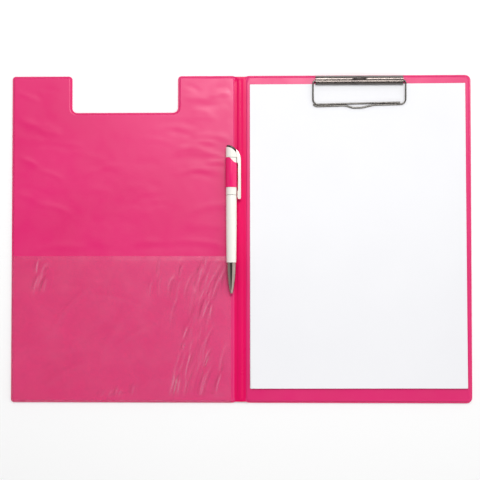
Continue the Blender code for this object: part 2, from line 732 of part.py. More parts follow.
def pen_clip_arm():
    """The clip moulded on the head: a bar beside the barrel, rounded over at the top."""
    start, root = PEN_CLIP_END_AT, HEAD_AT - LOOP_CUTAWAY
    pad = LOOP_RADIUS + FIT_GAP
    outer, inner = PEN_CLIP_OUTER, PEN_CLIP_INNER
    bore_side = HEAD_BORE + 0.1 * MM
    barrel_side = BARREL_RADIUS + FIT_GAP
    start_angle = math.acos((HEAD_RADIUS + bore_side) / HEAD_ARC_RADIUS)
    arc = [(p.x - PEN_X, p.y - PEN_TIP_Y, 0) for p in arc_points(HEAD_ARC_RADIUS, 0, start_angle, 8)]
    corners = [
        (inner, start, 0.8 * MM),
        (outer, start, 0.8 * MM),
        *arc,
        (bore_side, HEAD_AT + FIT_GAP, 0),
        (barrel_side, HEAD_AT + FIT_GAP, 0),
        (barrel_side, root, 0),
        (inner, root, 0.5 * MM),
        (inner, start + PEN_CLIP_PAD_LENGTH, 1 * MM),
        (pad, start + PEN_CLIP_PAD_LENGTH - 2 * MM, 1 * MM),
        (pad, start + 2 * MM, 0.8 * MM),
    ]
    placed = [(PEN_X + x, PEN_TIP_Y + y, radius) for x, y, radius in corners]
    return cutter(slab("pen_clip_arm", placed, PEN_Z - PEN_CLIP_WIDTH / 2, PEN_CLIP_WIDTH, CUTTERS))


def head(parent):
    """The white head: a tube with its top cut to an arc, and the pen clip in one piece with it."""
    top = HEAD_ARC_AT + HEAD_ARC_RADIUS
    profile = [(HEAD_BORE, top), (HEAD_RADIUS, top), (HEAD_RADIUS, HEAD_AT), (HEAD_BORE, HEAD_AT)]
    obj = turned("pen_head_with_clip", profile, closed=True)
    combine(obj, above_arc_cutter("head_top", HEAD_ARC_RADIUS - BUTTON_SHOWS))
    combine(obj, pen_clip_arm(), "UNION")
    return on_pen(obj, parent, (0.93, 0.93, 0.9), 0.3)


def button(parent):
    """The push button, cut to the same arc as the head, and its stem."""
    cap = HEAD_BORE - FIT_GAP
    floor = HEAD_AT + 2 * MM + BUTTON_TRAVEL + FIT_GAP
    top = HEAD_ARC_AT + HEAD_ARC_RADIUS + 1 * MM
    profile = [
        (0.0, top),
        (cap, top),
        (cap, floor),
        (BUTTON_STEM_RADIUS, floor),
        (BUTTON_STEM_RADIUS, BUTTON_STEM_AT),
        (0.0, BUTTON_STEM_AT),
    ]
    obj = turned("pen_button", profile)
    combine(obj, above_arc_cutter("button_top", HEAD_ARC_RADIUS))
    return on_pen(obj, parent, (0.12, 0.11, 0.11), 0.3, 0.6)


def thrust_tube(parent):
    """Joins the button's stem to the refill."""
    low, high = THRUST_TUBE_AT, THRUST_TUBE_AT + THRUST_TUBE_LENGTH
    stem_room = BUTTON_STEM_RADIUS + FIT_GAP
    profile = [
        (stem_room, high),
        (THRUST_TUBE_RADIUS - THRUST_TUBE_CHAMFER, high),
        (THRUST_TUBE_RADIUS, high - 1 * MM),
        (THRUST_TUBE_RADIUS, low + 1 * MM),
        (THRUST_TUBE_RADIUS - THRUST_TUBE_CHAMFER, low),
        (stem_room, low),
    ]
    obj = turned("pen_thrust_tube", profile, 24, closed=True)
    return on_pen(obj, parent, (0.2, 0.35, 0.6), 0.4)


def refill(parent):
    """The ink tube, with the collar that its spring pushes on, and the writing tip."""
    low = REFILL_TIP_RECESS + REFILL_TIP_LENGTH + FIT_GAP
    high = THRUST_TUBE_AT + REFILL_OVERLAP
    collar = SPRING_AT + SPRING_LENGTH + SPRING_WIRE + FIT_GAP
    tube = [
        (REFILL_RADIUS - REFILL_WALL, high),
        (REFILL_RADIUS, high),
        (REFILL_RADIUS, collar + 1 * MM),
        (COLLAR_RADIUS, collar + 1 * MM),
        (COLLAR_RADIUS, collar),
        (REFILL_RADIUS, collar),
        (REFILL_RADIUS, low),
        (REFILL_RADIUS - REFILL_WALL, low),
    ]
    obj = turned("pen_refill_tube", tube, 20, closed=True)
    on_pen(obj, parent, (0.1, 0.15, 0.45), 0.35)
    end, point = REFILL_TIP_RECESS + REFILL_TIP_LENGTH, REFILL_TIP_RECESS
    tip = [
        (0.0, end),
        (REFILL_TIP_RADIUS, end),
        (REFILL_TIP_RADIUS, point + 2.2 * MM),
        (0.45 * MM, point + 0.3 * MM),
        (0.25 * MM, point),
        (0.0, point),
    ]
    obj = turned("pen_refill_tip", tip, 20)
    on_pen(obj, parent, (0.75, 0.6, 0.3), 0.3, 1.0)


def refill_spring(parent):
    """The coil spring around the refill."""
    per_turn = 12
    points = []
    for k in range(SPRING_TURNS * per_turn + 1):
        turn = 2 * math.pi * k / per_turn
        along = SPRING_WIRE / 2 + SPRING_LENGTH * k / (SPRING_TURNS * per_turn)
        points.append((SPRING_RADIUS * math.cos(turn), SPRING_RADIUS * math.sin(turn), SPRING_AT + along))
    obj = wire("pen_spring", points, SPRING_WIRE, resolution=1)
    return on_pen(obj, parent, (0.6, 0.6, 0.6), 0.3, 1.0)


def pen_loop(parent, colour):
    """The foil loop round the pen, welded to the cover beside the fold."""
    low, high = LOOP_START_AT, LOOP_START_AT + LOOP_LENGTH
    profile = [(LOOP_BORE, high), (LOOP_RADIUS, high), (LOOP_RADIUS, low), (LOOP_BORE, low)]
    obj = turned("pen_loop", profile, 40, closed=True)
    tail_z = PEN_Z - LOOP_RADIUS
    tail = box(
        "pen_loop_tail",
        (PEN_X, PEN_TIP_Y + low, tail_z),
        (-PANEL_X, PEN_TIP_Y + high, tail_z + LOOP_THICK),
        CUTTERS,
    )
    combine(obj, cutter(tail), "UNION")
    edge, reach = PEN_TIP_Y + high, 2 * LOOP_RADIUS
    cutaway = [
        (PEN_X - 2.5 * MM, edge + FIT_GAP, 0),
        (PEN_X + 3 * MM, edge - LOOP_CUTAWAY, 3 * MM),
        (PEN_X + reach, edge - LOOP_CUTAWAY, 0),
        (PEN_X + reach, edge + FIT_GAP, 0),
    ]
    tool = slab("pen_loop_cutaway", cutaway, PEN_Z - LOOP_BORE / 2, reach, CUTTERS)
    combine(obj, cutter(tool))
    return on_pen(obj, parent, colour, 0.3)


# Putting it together

def build():
    pink, deep_pink = (0.86, 0.09, 0.24), (0.75, 0.01, 0.12)
    spine_axis = axis_empty("spine_fold_axis", (FOLD_X, 0.0, FOLD_Z))
    cover_axis = axis_empty("cover_fold_axis", (-FOLD_X, 0.0, FOLD_Z), spine_axis)
    loop_axis = axis_empty("loop_shift_axis", (PEN_X, PEN_TIP_Y + LOOP_START_AT, PEN_Z), cover_axis)
    pen_axis = axis_empty("pen_pull_axis", (PEN_X, PEN_TIP_Y, PEN_Z), loop_axis)
    click_axis = axis_empty("pen_click_axis", (PEN_X, PEN_TIP_Y + HEAD_AT, PEN_Z), pen_axis)
    clip_axis = axis_empty("clip_open_axis", PIVOT)
    paper_axis = axis_empty("paper_pull_axis", (PAPER_X, PAPER_Y, PAPER_Z))

    outer = outer_foil("board_outer_foil", board_corners, 1, None, pink)
    grey = greyboard("board_greyboard", board_corners, None)
    inner = inner_foil("board_inner_foil", board_corners, 1, None, pink)
    plate = base_plate(None)
    rivets(None, (outer, grey, inner, plate))
    channel(None)
    torsion_wire(None)
    bail(clip_axis)
    paper(paper_axis)
    spine(spine_axis, deep_pink)

    outer_foil("cover_outer_foil", cover_corners, -1, cover_axis, pink)
    greyboard("cover_greyboard", cover_corners, cover_axis)
    inner_foil("cover_inner_foil", cover_corners, -1, cover_axis, pink)
    pocket(cover_axis)
    pen_loop(loop_axis, deep_pink)

    nozzle(pen_axis)
    barrels(pen_axis)
    head(pen_axis)
    refill_spring(pen_axis)
    button(click_axis)
    thrust_tube(click_axis)
    refill(click_axis)


build()
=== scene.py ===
"""The looks of a fold-over clipboard lying open: foil skins, pocket film, paper, wire clip and pen."""

import json
import math
import random

import bmesh
import bpy
import numpy as np
from mathutils import Matrix, Vector
from mathutils.geometry import delaunay_2d_cdt


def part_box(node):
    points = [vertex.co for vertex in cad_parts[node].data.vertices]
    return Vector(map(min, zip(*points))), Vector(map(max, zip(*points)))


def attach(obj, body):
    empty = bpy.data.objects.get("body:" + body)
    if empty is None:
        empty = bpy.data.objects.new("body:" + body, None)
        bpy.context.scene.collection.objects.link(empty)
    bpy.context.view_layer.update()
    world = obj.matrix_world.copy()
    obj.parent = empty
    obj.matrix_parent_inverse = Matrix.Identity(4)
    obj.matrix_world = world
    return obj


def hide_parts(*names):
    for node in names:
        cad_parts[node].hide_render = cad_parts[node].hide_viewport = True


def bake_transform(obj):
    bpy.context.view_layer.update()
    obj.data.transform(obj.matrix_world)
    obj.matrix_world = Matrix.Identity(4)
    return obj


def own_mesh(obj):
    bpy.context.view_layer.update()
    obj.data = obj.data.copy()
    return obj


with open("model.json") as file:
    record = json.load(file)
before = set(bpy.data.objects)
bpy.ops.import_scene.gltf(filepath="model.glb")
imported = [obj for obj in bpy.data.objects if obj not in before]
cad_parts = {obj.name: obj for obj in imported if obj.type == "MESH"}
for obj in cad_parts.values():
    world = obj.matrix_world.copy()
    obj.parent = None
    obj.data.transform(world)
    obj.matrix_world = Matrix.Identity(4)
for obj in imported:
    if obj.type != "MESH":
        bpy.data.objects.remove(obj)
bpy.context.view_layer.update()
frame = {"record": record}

MM = 0.001
random.seed(4)

# Places that come from the frame
BOARD_LOW, BOARD_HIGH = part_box("board_inner_foil")
COVER_LOW, COVER_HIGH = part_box("cover_inner_foil")
JOINTS = {joint["name"]: joint for joint in frame["record"]["behaviour"]["joints"]}
FOLD_X = JOINTS["spine_fold"]["pos_m"][0]
FOLD_Z = JOINTS["spine_fold"]["pos_m"][2]
PIVOT = Vector(JOINTS["clip_open"]["pos_m"])
HALF_WIDTH = BOARD_HIGH.x
HALF_LENGTH = BOARD_HIGH.y
PANEL_X = BOARD_LOW.x
PANEL_TOP = BOARD_HIGH.z
NOTCH = next(o for o in frame["record"]["physics"]["openings"] if o["name"] == "cover_notch")["box_m"]
NOTCH_MARGIN = 1 * MM                    # the stated opening stays this far inside the notch
NOTCH_LEFT = NOTCH[0][0] - NOTCH_MARGIN
NOTCH_RIGHT = NOTCH[1][0] + NOTCH_MARGIN
NOTCH_END = NOTCH[0][1] - NOTCH_MARGIN

# Foil
COVER_CORNER = 3 * MM
BOARD_CORNER = 5.5 * MM
NOTCH_TAB_CORNER = 3.5 * MM
NOTCH_INNER_CORNER = 5 * MM
FOIL = 0.25 * MM
RIM_Z = 1.0 * MM                         # top of the welded rim
RIM_WIDTH = 1.15 * MM
SHOULDER = 1.0 * MM                      # run of the climb from the rim onto the greyboard
DEEPEST_CREASE = -0.12 * MM              # the greyboard lies just under the foil
EDGE_STEP = 2.5 * MM
RIM_RINGS = [0.25 * MM, 0.5 * MM, 0.8 * MM, 1.15 * MM, 1.4 * MM, 1.65 * MM, 1.9 * MM, 2.2 * MM, 3 * MM]
SPINE_SHORTER = 1 * MM
SPINE_GROOVE_LEFT = -5.5 * MM
SPINE_GROOVE_RIGHT = 5.1 * MM
GROOVE_Z = 1.75 * MM
SPINE_CROWN_Z = 2.75 * MM
CROWN_X = -0.4 * MM
CROWN_HALF = 2.9 * MM
WELD_MARGIN = 0.3 * MM                   # the spine's foil runs this far past each groove
OUTSIDE_RINGS = [0.3 * MM, 0.7 * MM, 1.2 * MM, 1.8 * MM]
OUTSIDE_RIM_Z = 0.7 * MM                 # how far the outer foil turns up at its edge
SPINE_RECESS = 0.6 * MM                  # the spine's outer foil lies this far under the fold axis
SPINE_ZONE = 11 * MM                     # plan points are in fine columns this near the spine's middle
SPINE_PITCH = 0.45 * MM
STAGGER_FROM = 12 * MM
SKIN_SHARP = 50                          # degrees between faces that count as a sharp edge
TURNED_SHARP = 35
TUBE_SHARP = 40

# Pocket film
FILM = 0.15 * MM
FILM_PITCH = 1.1 * MM
FILM_GAP = 0.30 * MM                     # under the film at its welds
FILM_SLACK = 0.30 * MM                   # more gap where the film is loose
DEEPEST_FOLD = -0.28 * MM
HIGHEST_FOLD = 0.75 * MM
MOUTH_LIP = 0.12 * MM
# SLOPE_STEP and CREASE_SLOPE set the painted crease shade and highlight of the pocket film
SLOPE_STEP = np.array([0.35, -0.2]) * MM  # the direction in which the film's slope is read
CREASE_SLOPE = 0.42                      # slope at which a crease has its full painted shade on one side and full painted highlight on the other


# Mesh helpers

def link(name, data):
    obj = bpy.data.objects.new(name, data)
    bpy.context.scene.collection.objects.link(obj)
    return obj


def mesh_object(name, verts, faces, smooth=True):
    mesh = bpy.data.meshes.new(name)
    mesh.from_pydata([tuple(v) for v in verts], [], [tuple(f) for f in faces])
    mesh.validate()
    if smooth:
        mesh.shade_smooth()
    return link(name, mesh)


def apply_modifiers(obj):
    """Bakes an object's modifiers into its mesh."""
    depsgraph = bpy.context.evaluated_depsgraph_get()
    mesh = bpy.data.meshes.new_from_object(obj.evaluated_get(depsgraph))
    obj.modifiers.clear()
    obj.data = mesh
    return obj


def solidify(obj, thickness, offset=-1.0):
    solid = obj.modifiers.new("thickness", "SOLIDIFY")
    solid.thickness = thickness
    solid.offset = offset
    apply_modifiers(obj)
    obj.data.set_sharp_from_angle(angle=math.radians(SKIN_SHARP))
    return obj


def face_outwards(obj, sharp_degrees, merge=False):
    """Turns a closed mesh's faces outwards and marks its sharp edges."""
    bm = bmesh.new()
    bm.from_mesh(obj.data)
    if merge:
        bmesh.ops.remove_doubles(bm, verts=bm.verts, dist=1e-7)
        bmesh.ops.dissolve_degenerate(bm, edges=bm.edges, dist=1e-8)
    bmesh.ops.recalc_face_normals(bm, faces=bm.faces)
    bm.to_mesh(obj.data)
    bm.free()
    obj.data.set_sharp_from_angle(angle=math.radians(sharp_degrees))
    return obj


def ring_faces(columns, n, closed=True):
    """Faces between neighbouring columns of n points, all the way round."""
    faces = []
    for j in range(columns):
        following = (j + 1) % columns
        for k in range(n if closed else n - 1):
            after = (k + 1) % n
            faces.append((j * n + k, j * n + after, following * n + after, following * n + k))
    return faces


def arc_corners(corners, steps=8):
    """A closed plan outline from (x, y, radius) corners."""
    points = []
    for i, (x, y, radius) in enumerate(corners):
        here = Vector((x, y))
        if radius <= 0:
            points.append(here)
            continue
        back = (Vector(corners[i - 1][:2]) - here).normalized()
        ahead = (Vector(corners[(i + 1) % len(corners)][:2]) - here).normalized()
        half = back.angle(ahead) / 2
        centre = here + (back + ahead).normalized() * (radius / math.sin(half))
        first = here + back * (radius / math.tan(half)) - centre
        last = here + ahead * (radius / math.tan(half)) - centre
        for k in range(steps + 1):
            points.append(centre + first.slerp(last, k / steps) * radius)
    return points


def bent_path(corners, steps=8):
    """An open path through (x, y, z, radius) corners."""
    points = []
    for i, (x, y, z, radius) in enumerate(corners):
        here = Vector((x, y, z))
        if radius <= 0 or i in (0, len(corners) - 1):
            points.append(here)
            continue
        back = (Vector(corners[i - 1][:3]) - here).normalized()
        ahead = (Vector(corners[i + 1][:3]) - here).normalized()
        half = back.angle(ahead) / 2
        centre = here + (back + ahead).normalized() * (radius / math.sin(half))
        first = here + back * (radius / math.tan(half)) - centre
        last = here + ahead * (radius / math.tan(half)) - centre
        points += [centre + first.slerp(last, k / steps) * radius for k in range(steps + 1)]
    return points


def densified(points, step):
    """A closed outline with extra points along its long sides."""
    made = []
    for here, following in zip(points, points[1:] + points[:1]):
        pieces = max(1, round((following - here).length / step))
        made += [here.lerp(following, k / pieces) for k in range(pieces)]
    return made


def smoothstep(low, high, x):
    t = np.clip((x - low) / (high - low), 0.0, 1.0)
    return t * t * (3 - 2 * t)


def edge_distance(points, outline):
    """Each point's distance to a closed outline."""
    a = np.array([tuple(p) for p in outline])
    b = np.roll(a, -1, axis=0)
    best = np.full(len(points), 1e9)
    for start, end in zip(a, b):
        along = end - start
        length = max(float(along @ along), 1e-12)
        t = np.clip(((points - start) @ along) / length, 0, 1)
        best = np.minimum(best, np.linalg.norm(points - start - t[:, None] * along, axis=1))
    return best


# Materials

def new_material(name):
    material = bpy.data.materials.new(name)
    material.use_nodes = True
    return material, material.node_tree.nodes, material.node_tree.links


def noise(nodes, links, coords, scale, detail=3.0):
    texture = nodes.new("ShaderNodeTexNoise")
    texture.inputs["Scale"].default_value = scale
    texture.inputs["Detail"].default_value = detail
    links.new(coords, texture.inputs["Vector"])
    return texture.outputs["Fac"]


def map_range(nodes, links, source, from_range, to_range=(0.0, 1.0), smooth=False):
    span = nodes.new("ShaderNodeMapRange")
    if smooth:
        span.interpolation_type = "SMOOTHSTEP"
    span.inputs["From Min"].default_value, span.inputs["From Max"].default_value = from_range
    span.inputs["To Min"].default_value, span.inputs["To Max"].default_value = to_range
    links.new(source, span.inputs["Value"])
    return span.outputs["Result"]


def ranged(nodes, links, source, low, high):
    """Maps the middle of a noise onto low to high."""
    return map_range(nodes, links, source, (0.3, 0.7), (low, high))


def mixed(nodes, links, factor, first, second):
    blend = nodes.new("ShaderNodeMix")
    blend.data_type = "RGBA"
    for socket, value in ((blend.inputs[6], first), (blend.inputs[7], second)):
        if isinstance(value, tuple):
            socket.default_value = (*value, 1.0)
        else:
            links.new(value, socket)
    links.new(factor, blend.inputs[0])
    return blend.outputs[2]


def surface(name, light, dark, rough, grain=400, grain_depth=0.02, blotch=14, metallic=0.0, coat=0.0,
            specular=0.5):
    """A material with soft colour variation, uneven gloss and a fine grain."""
    material, nodes, links = new_material(name)
    shader = nodes["Principled BSDF"]
    coords = nodes.new("ShaderNodeTexCoord").outputs["Object"]
    cloud = noise(nodes, links, coords, blotch)
    colour = mixed(nodes, links, ranged(nodes, links, cloud, 0.0, 1.0), light, dark)
    links.new(colour, shader.inputs["Base Color"])
    uneven = noise(nodes, links, coords, blotch * 4)
    links.new(ranged(nodes, links, uneven, rough[0], rough[1]), shader.inputs["Roughness"])
    bump = nodes.new("ShaderNodeBump")
    bump.inputs["Strength"].default_value = 0.35
    bump.inputs["Distance"].default_value = grain_depth * MM
    links.new(noise(nodes, links, coords, grain, 4.0), bump.inputs["Height"])
    links.new(bump.outputs["Normal"], shader.inputs["Normal"])
    shader.inputs["Metallic"].default_value = metallic
    shader.inputs["Coat Weight"].default_value = coat
    shader.inputs["Specular IOR Level"].default_value = specular
    return material


def film_material():
    """Clear film with painted light: by its slope, each crease gets painted shade on one side and a painted
    highlight on the other, and a painted sheen makes the film paler towards the spine.
    """
    material = surface("clear_film", (1.0, 0.12, 0.34), (0.97, 0.10, 0.31), (0.24, 0.32), grain=300,
                       specular=1.0, coat=1.0)
    nodes, links = material.node_tree.nodes, material.node_tree.links
    shader = nodes["Principled BSDF"]
    shader.inputs["IOR"].default_value = 1.9
    slope = nodes.new("ShaderNodeAttribute")
    slope.attribute_name = "slope"
    along = nodes.new("ShaderNodeSeparateXYZ")
    links.new(nodes.new("ShaderNodeTexCoord").outputs["Object"], along.inputs["Vector"])
    # painted sheen: the film's colour turns paler towards the spine
    near_spine = map_range(nodes, links, along.outputs["X"], (-0.21, -0.03))
    colour = shader.inputs["Base Color"].links[0].from_socket
    colour = mixed(nodes, links, near_spine, colour, (1.0, 0.13, 0.37))
    # painted shade where a crease falls, painted highlight where it rises
    for steepest, painted_crease_light in ((-CREASE_SLOPE, (0.60, 0.012, 0.13)), (CREASE_SLOPE, (1.0, 0.30, 0.50))):
        steep = map_range(nodes, links, slope.outputs["Fac"], (0.0, steepest))
        colour = mixed(nodes, links, steep, colour, painted_crease_light)
    links.new(colour, shader.inputs["Base Color"])
    steepness = nodes.new("ShaderNodeMath")
    steepness.operation = "ABSOLUTE"
    links.new(slope.outputs["Fac"], steepness.inputs[0])
    # steep creases are made more opaque, so that their painted shade and highlight show
    steep_crease_opacity = map_range(nodes, links, steepness.outputs["Value"], (0.0, 0.35), (0.23, 0.46))
    links.new(steep_crease_opacity, shader.inputs["Alpha"])
    return material


MATERIALS = {
    "foil": surface("pink_foil", (0.715, 0.016, 0.158), (0.675, 0.013, 0.140), (0.34, 0.44), grain=900,
                    grain_depth=0.015),
    # spine_foil is the same pink foil painted deeper as shade, with little specular, so that the spine shows
    # no sheen
    "spine": surface("spine_foil", (0.74, 0.004, 0.110), (0.68, 0.003, 0.095), (0.26, 0.36), grain=900,
                     grain_depth=0.015, specular=0.15),
    "film": film_material(),
    "loop": surface("loop_foil", (0.86, 0.012, 0.16), (0.74, 0.007, 0.13), (0.16, 0.26), grain=700),
    "paper": surface("paper", (0.835, 0.835, 0.855), (0.81, 0.81, 0.835), (0.75, 0.9), grain=2500,
                     grain_depth=0.01, blotch=6),
    # the chrome and chrome_wire colours are painted far darker than real chrome, as painted shade for the dim
    # reflections of the clip
    "chrome": surface("chrome", (0.135, 0.115, 0.105), (0.10, 0.085, 0.08), (0.20, 0.28), grain=1500,
                      grain_depth=0.004, blotch=60, metallic=1.0),
    "wire": surface("chrome_wire", (0.17, 0.16, 0.15), (0.13, 0.12, 0.11), (0.2, 0.3), grain=1500,
                    grain_depth=0.004, blotch=60, metallic=1.0),
    "steel": surface("plated_steel", (0.58, 0.57, 0.56), (0.48, 0.47, 0.46), (0.28, 0.42), grain=1800,
                     blotch=80, metallic=1.0),
    "nozzle": surface("nozzle_metal", (0.46, 0.37, 0.33), (0.38, 0.30, 0.27), (0.12, 0.2), grain=1200,
                      grain_depth=0.004, blotch=60, metallic=1.0),
    "white": surface("white_plastic", (0.84, 0.82, 0.76), (0.80, 0.78, 0.72), (0.22, 0.32), grain=1500,
                     grain_depth=0.001, blotch=8, coat=0.3),
    "dark": surface("dark_button", (0.10, 0.085, 0.08), (0.06, 0.05, 0.05), (0.2, 0.3), grain=1200, blotch=60,
                    metallic=0.5),
    "greyboard": surface("greyboard", (0.30, 0.28, 0.25), (0.22, 0.20, 0.18), (0.85, 0.95), grain=700,
                         grain_depth=0.08, blotch=60),
    "blue": surface("blue_plastic", (0.16, 0.30, 0.55), (0.12, 0.25, 0.48), (0.35, 0.45), grain=900,
                    blotch=60),
    "ink": surface("ink_tube", (0.06, 0.10, 0.36), (0.04, 0.07, 0.28), (0.2, 0.3), grain=900,
                   blotch=60, coat=0.4),
    "brass": surface("tip_brass", (0.75, 0.58, 0.28), (0.65, 0.48, 0.22), (0.22, 0.35), grain=1500, blotch=80,
                     metallic=1.0),
}


def dress(obj, material):
    obj.data.materials.clear()
    obj.data.materials.append(MATERIALS[material])
    return obj


def finish_piece(obj, material, body, slot, *nodes):
    """Gives a piece its material and its body, and hides the CAD nodes that it stands for; slot is not used.
    """
    dress(obj, material)
    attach(obj, body)
    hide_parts(*nodes)
    return obj


# Folder skins

def cover_outline(inset=0.0):
    far, end = HALF_WIDTH - inset, HALF_LENGTH - inset
    return arc_corners([
        (-far, -end, COVER_CORNER - inset),
        (0, -end, 0),
        (0, end, 0),
        (NOTCH_RIGHT + inset, end, NOTCH_TAB_CORNER - inset),
        (NOTCH_RIGHT + inset, NOTCH_END - inset, NOTCH_INNER_CORNER + inset),
        (NOTCH_LEFT - inset, NOTCH_END - inset, NOTCH_INNER_CORNER + inset),
        (NOTCH_LEFT - inset, end, NOTCH_TAB_CORNER - inset),
        (-far, end, COVER_CORNER - inset),
    ])


def board_outline(inset=0.0):
    far, end = HALF_WIDTH - inset, HALF_LENGTH - inset
    radius = BOARD_CORNER - inset
    return arc_corners([(0, -end, 0), (far, -end, radius), (far, end, radius), (0, end, 0)])


def filled_outline(outline_at, pitch, insets, spine_side=None):
    """Plan points and triangles in an outline: rings near its edge, then a grid, finer at the spine."""
    border = densified(outline_at(0.0), EDGE_STEP)
    verts = [Vector(p) for p in border]
    faces = [list(range(len(border)))]
    for inset in insets:
        verts += densified(outline_at(inset), EDGE_STEP)
    inner = insets[-1]
    polygon = np.array([tuple(p) for p in border])
    low, high = polygon.min(0), polygon.max(0)
    columns = list(np.arange(low[0] + inner + pitch / 2, high[0], pitch))
    rows = np.arange(low[1] + inner + pitch / 2, high[1] - inner, pitch)
    if spine_side:
        columns = [x for x in columns if abs(x) > SPINE_ZONE]
        columns += [spine_side * k * SPINE_PITCH for k in range(1, int(SPINE_ZONE / SPINE_PITCH))]
    grid = []
    for k, y in enumerate(rows):
        for x in columns:
            stagger = 0.5 * pitch if k % 2 and abs(x) > STAGGER_FROM else 0.0
            grid.append((x + stagger, y))
    grid = np.array(grid)
    far_enough = edge_distance(grid, border) > inner + 0.3 * pitch
    at_spine = np.abs(grid[:, 0]) < SPINE_ZONE if spine_side else np.zeros(len(grid), bool)
    in_span = (grid[:, 1] > low[1] + inner) & (grid[:, 1] < high[1] - inner)
    verts += [Vector(p) for p in grid[far_enough | (at_spine & in_span)]]
    out_verts, _, out_faces, *_ = delaunay_2d_cdt(verts, [], faces, 1, 1e-6)
    return np.array([tuple(v) for v in out_verts]), out_faces


def rim_height(distance):
    """The inside foil's height by its distance from a free edge."""
    bead = 0.12 * MM * np.exp(-(((distance - 0.5 * MM) / (0.3 * MM)) ** 2))
    climb = smoothstep(RIM_WIDTH, RIM_WIDTH + SHOULDER, distance)
    return RIM_Z + bead + (PANEL_TOP - RIM_Z) * climb


def spine_height(x):
    """The inside foil's height across the spine: two welded valleys with a crown between them."""
    crown = GROOVE_Z + (SPINE_CROWN_Z - GROOVE_Z) * np.exp(-(((x - CROWN_X) / CROWN_HALF) ** 4))
    outside = np.maximum(SPINE_GROOVE_LEFT - x, x - SPINE_GROOVE_RIGHT)
    bank = GROOVE_Z + (PANEL_TOP - GROOVE_Z) * smoothstep(0.1 * MM, 1.5 * MM, outside)
    return np.where(outside > 0, bank, crown)


def ridge_field(points, ridges):
    """Sum of soft creases, each (x, y, angle, half length, width, height)."""
    height = np.zeros(len(points))
    for x, y, angle, half, width, rise in ridges:
        dx, dy = points[:, 0] - x, points[:, 1] - y
        along = dx * math.cos(angle) + dy * math.sin(angle)
        across = dy * math.cos(angle) - dx * math.sin(angle)
        across = across + 0.12 * along**2 / half
        height += rise * np.exp(-((across / width) ** 2)) * np.exp(-((along / half) ** 4))
    return height


def scattered_ridges(count, box, angle, spread, half, width, rise):
    """Creases at random places in a plan box, all turned about the same way.

    The box is in metres and the angles are in radians; half length, width and rise are in millimetres.
    """
    half, width, rise = half * MM, width * MM, rise * MM
    (x0, y0), (x1, y1) = box
    made = []
    for _ in range(count):
        made.append((
            random.uniform(x0, x1),
            random.uniform(y0, y1),
            angle + random.uniform(-spread, spread),
            half * random.uniform(0.6, 1.4),
            width * random.uniform(0.7, 1.4),
            rise * random.choice((-1, 1)) * random.uniform(0.5, 1.2),
        ))
    return made


def soft_noise(points, scale, seed):
    """Smooth pseudo-random hills in -1..1, from a few seeded waves."""
    generator = np.random.default_rng(seed)
    total = np.zeros(len(points))
    for _ in range(7):
        direction = generator.uniform(0, 2 * math.pi)
        wave = scale * generator.uniform(0.6, 1.8)
        phase = generator.uniform(0, 2 * math.pi)
        across = points[:, 0] * math.cos(direction) + points[:, 1] * math.sin(direction)
        total += np.sin(across * 2 * math.pi / wave + phase)
    return total / 7


def pull_in_spine_ends(points):
    """Shortens the skin a little where it is the spine."""
    share = 1 - smoothstep(FOLD_X - 1 * MM, PANEL_X + 0.6 * MM, np.abs(points[:, 0]))
    scale = 1 - share * SPINE_SHORTER / HALF_LENGTH
    points[:, 1] *= scale
    return points


def dress_skin(obj):
    """Foil, with a shaded copy of the same smoother foil between the spine's two welds: painted a deeper pink
    and given little specular, so that the spine shows none of the boards' sheen.
    """
    dress(obj, "foil")
    obj.data.materials.append(MATERIALS["spine"])
    # the spine's faces get the shaded copy of the foil
    for face in obj.data.polygons:
        if SPINE_GROOVE_LEFT - WELD_MARGIN < face.center.x < SPINE_GROOVE_RIGHT + WELD_MARGIN:
            face.material_index = 1


def free_edge_distance(points, outline, side):
    """Distance to the outline, leaving out its edge at the middle of the spine."""
    moved = np.array([tuple(p) for p in outline])
    moved[np.abs(moved[:, 0]) < 1e-6, 0] = -side * 0.1
    return edge_distance(points, [tuple(p) for p in moved])


def bend_at_fold(obj):
    """Bakes a skin's transform into its mesh; the skin is not bent."""
    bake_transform(obj)


def inside_skin(name, outline_at, side, wrinkles, pitch):
    plan, faces = filled_outline(outline_at, pitch, RIM_RINGS, side)
    distance = free_edge_distance(plan, outline_at(0.0), side)
    calm = smoothstep(3 * MM, 14 * MM, distance) * smoothstep(8 * MM, 14 * MM, np.abs(plan[:, 0]))
    height = rim_height(distance)
    near_spine = np.abs(plan[:, 0]) < 9 * MM
    across = spine_height(plan[:, 0])
    height = np.where(near_spine, np.minimum(height, across), height)
    height = height + calm * np.maximum(wrinkles(plan), DEEPEST_CREASE)
    pull_in_spine_ends(plan)
    obj = mesh_object(name, np.column_stack([plan, height]), faces)
    solidify(obj, FOIL)
    dress_skin(obj)
    bend_at_fold(obj)
    return obj


def outside_skin(name, outline_at, side, pitch):
    plan, faces = filled_outline(outline_at, pitch, OUTSIDE_RINGS, side)
    distance = free_edge_distance(plan, outline_at(0.0), side)
    height = OUTSIDE_RIM_Z * (1 - smoothstep(0.0, 1.2 * MM, distance))
    over_spine = 1 - smoothstep(FOLD_X - 0.4 * MM, PANEL_X + 0.4 * MM, np.abs(plan[:, 0]))
    height = np.maximum(height, over_spine * (FOLD_Z - SPINE_RECESS))
    pull_in_spine_ends(plan)
    obj = mesh_object(name, np.column_stack([plan, height]), [tuple(reversed(f)) for f in faces])
    solidify(obj, FOIL)
    dress_skin(obj)
    bend_at_fold(obj)
    return obj


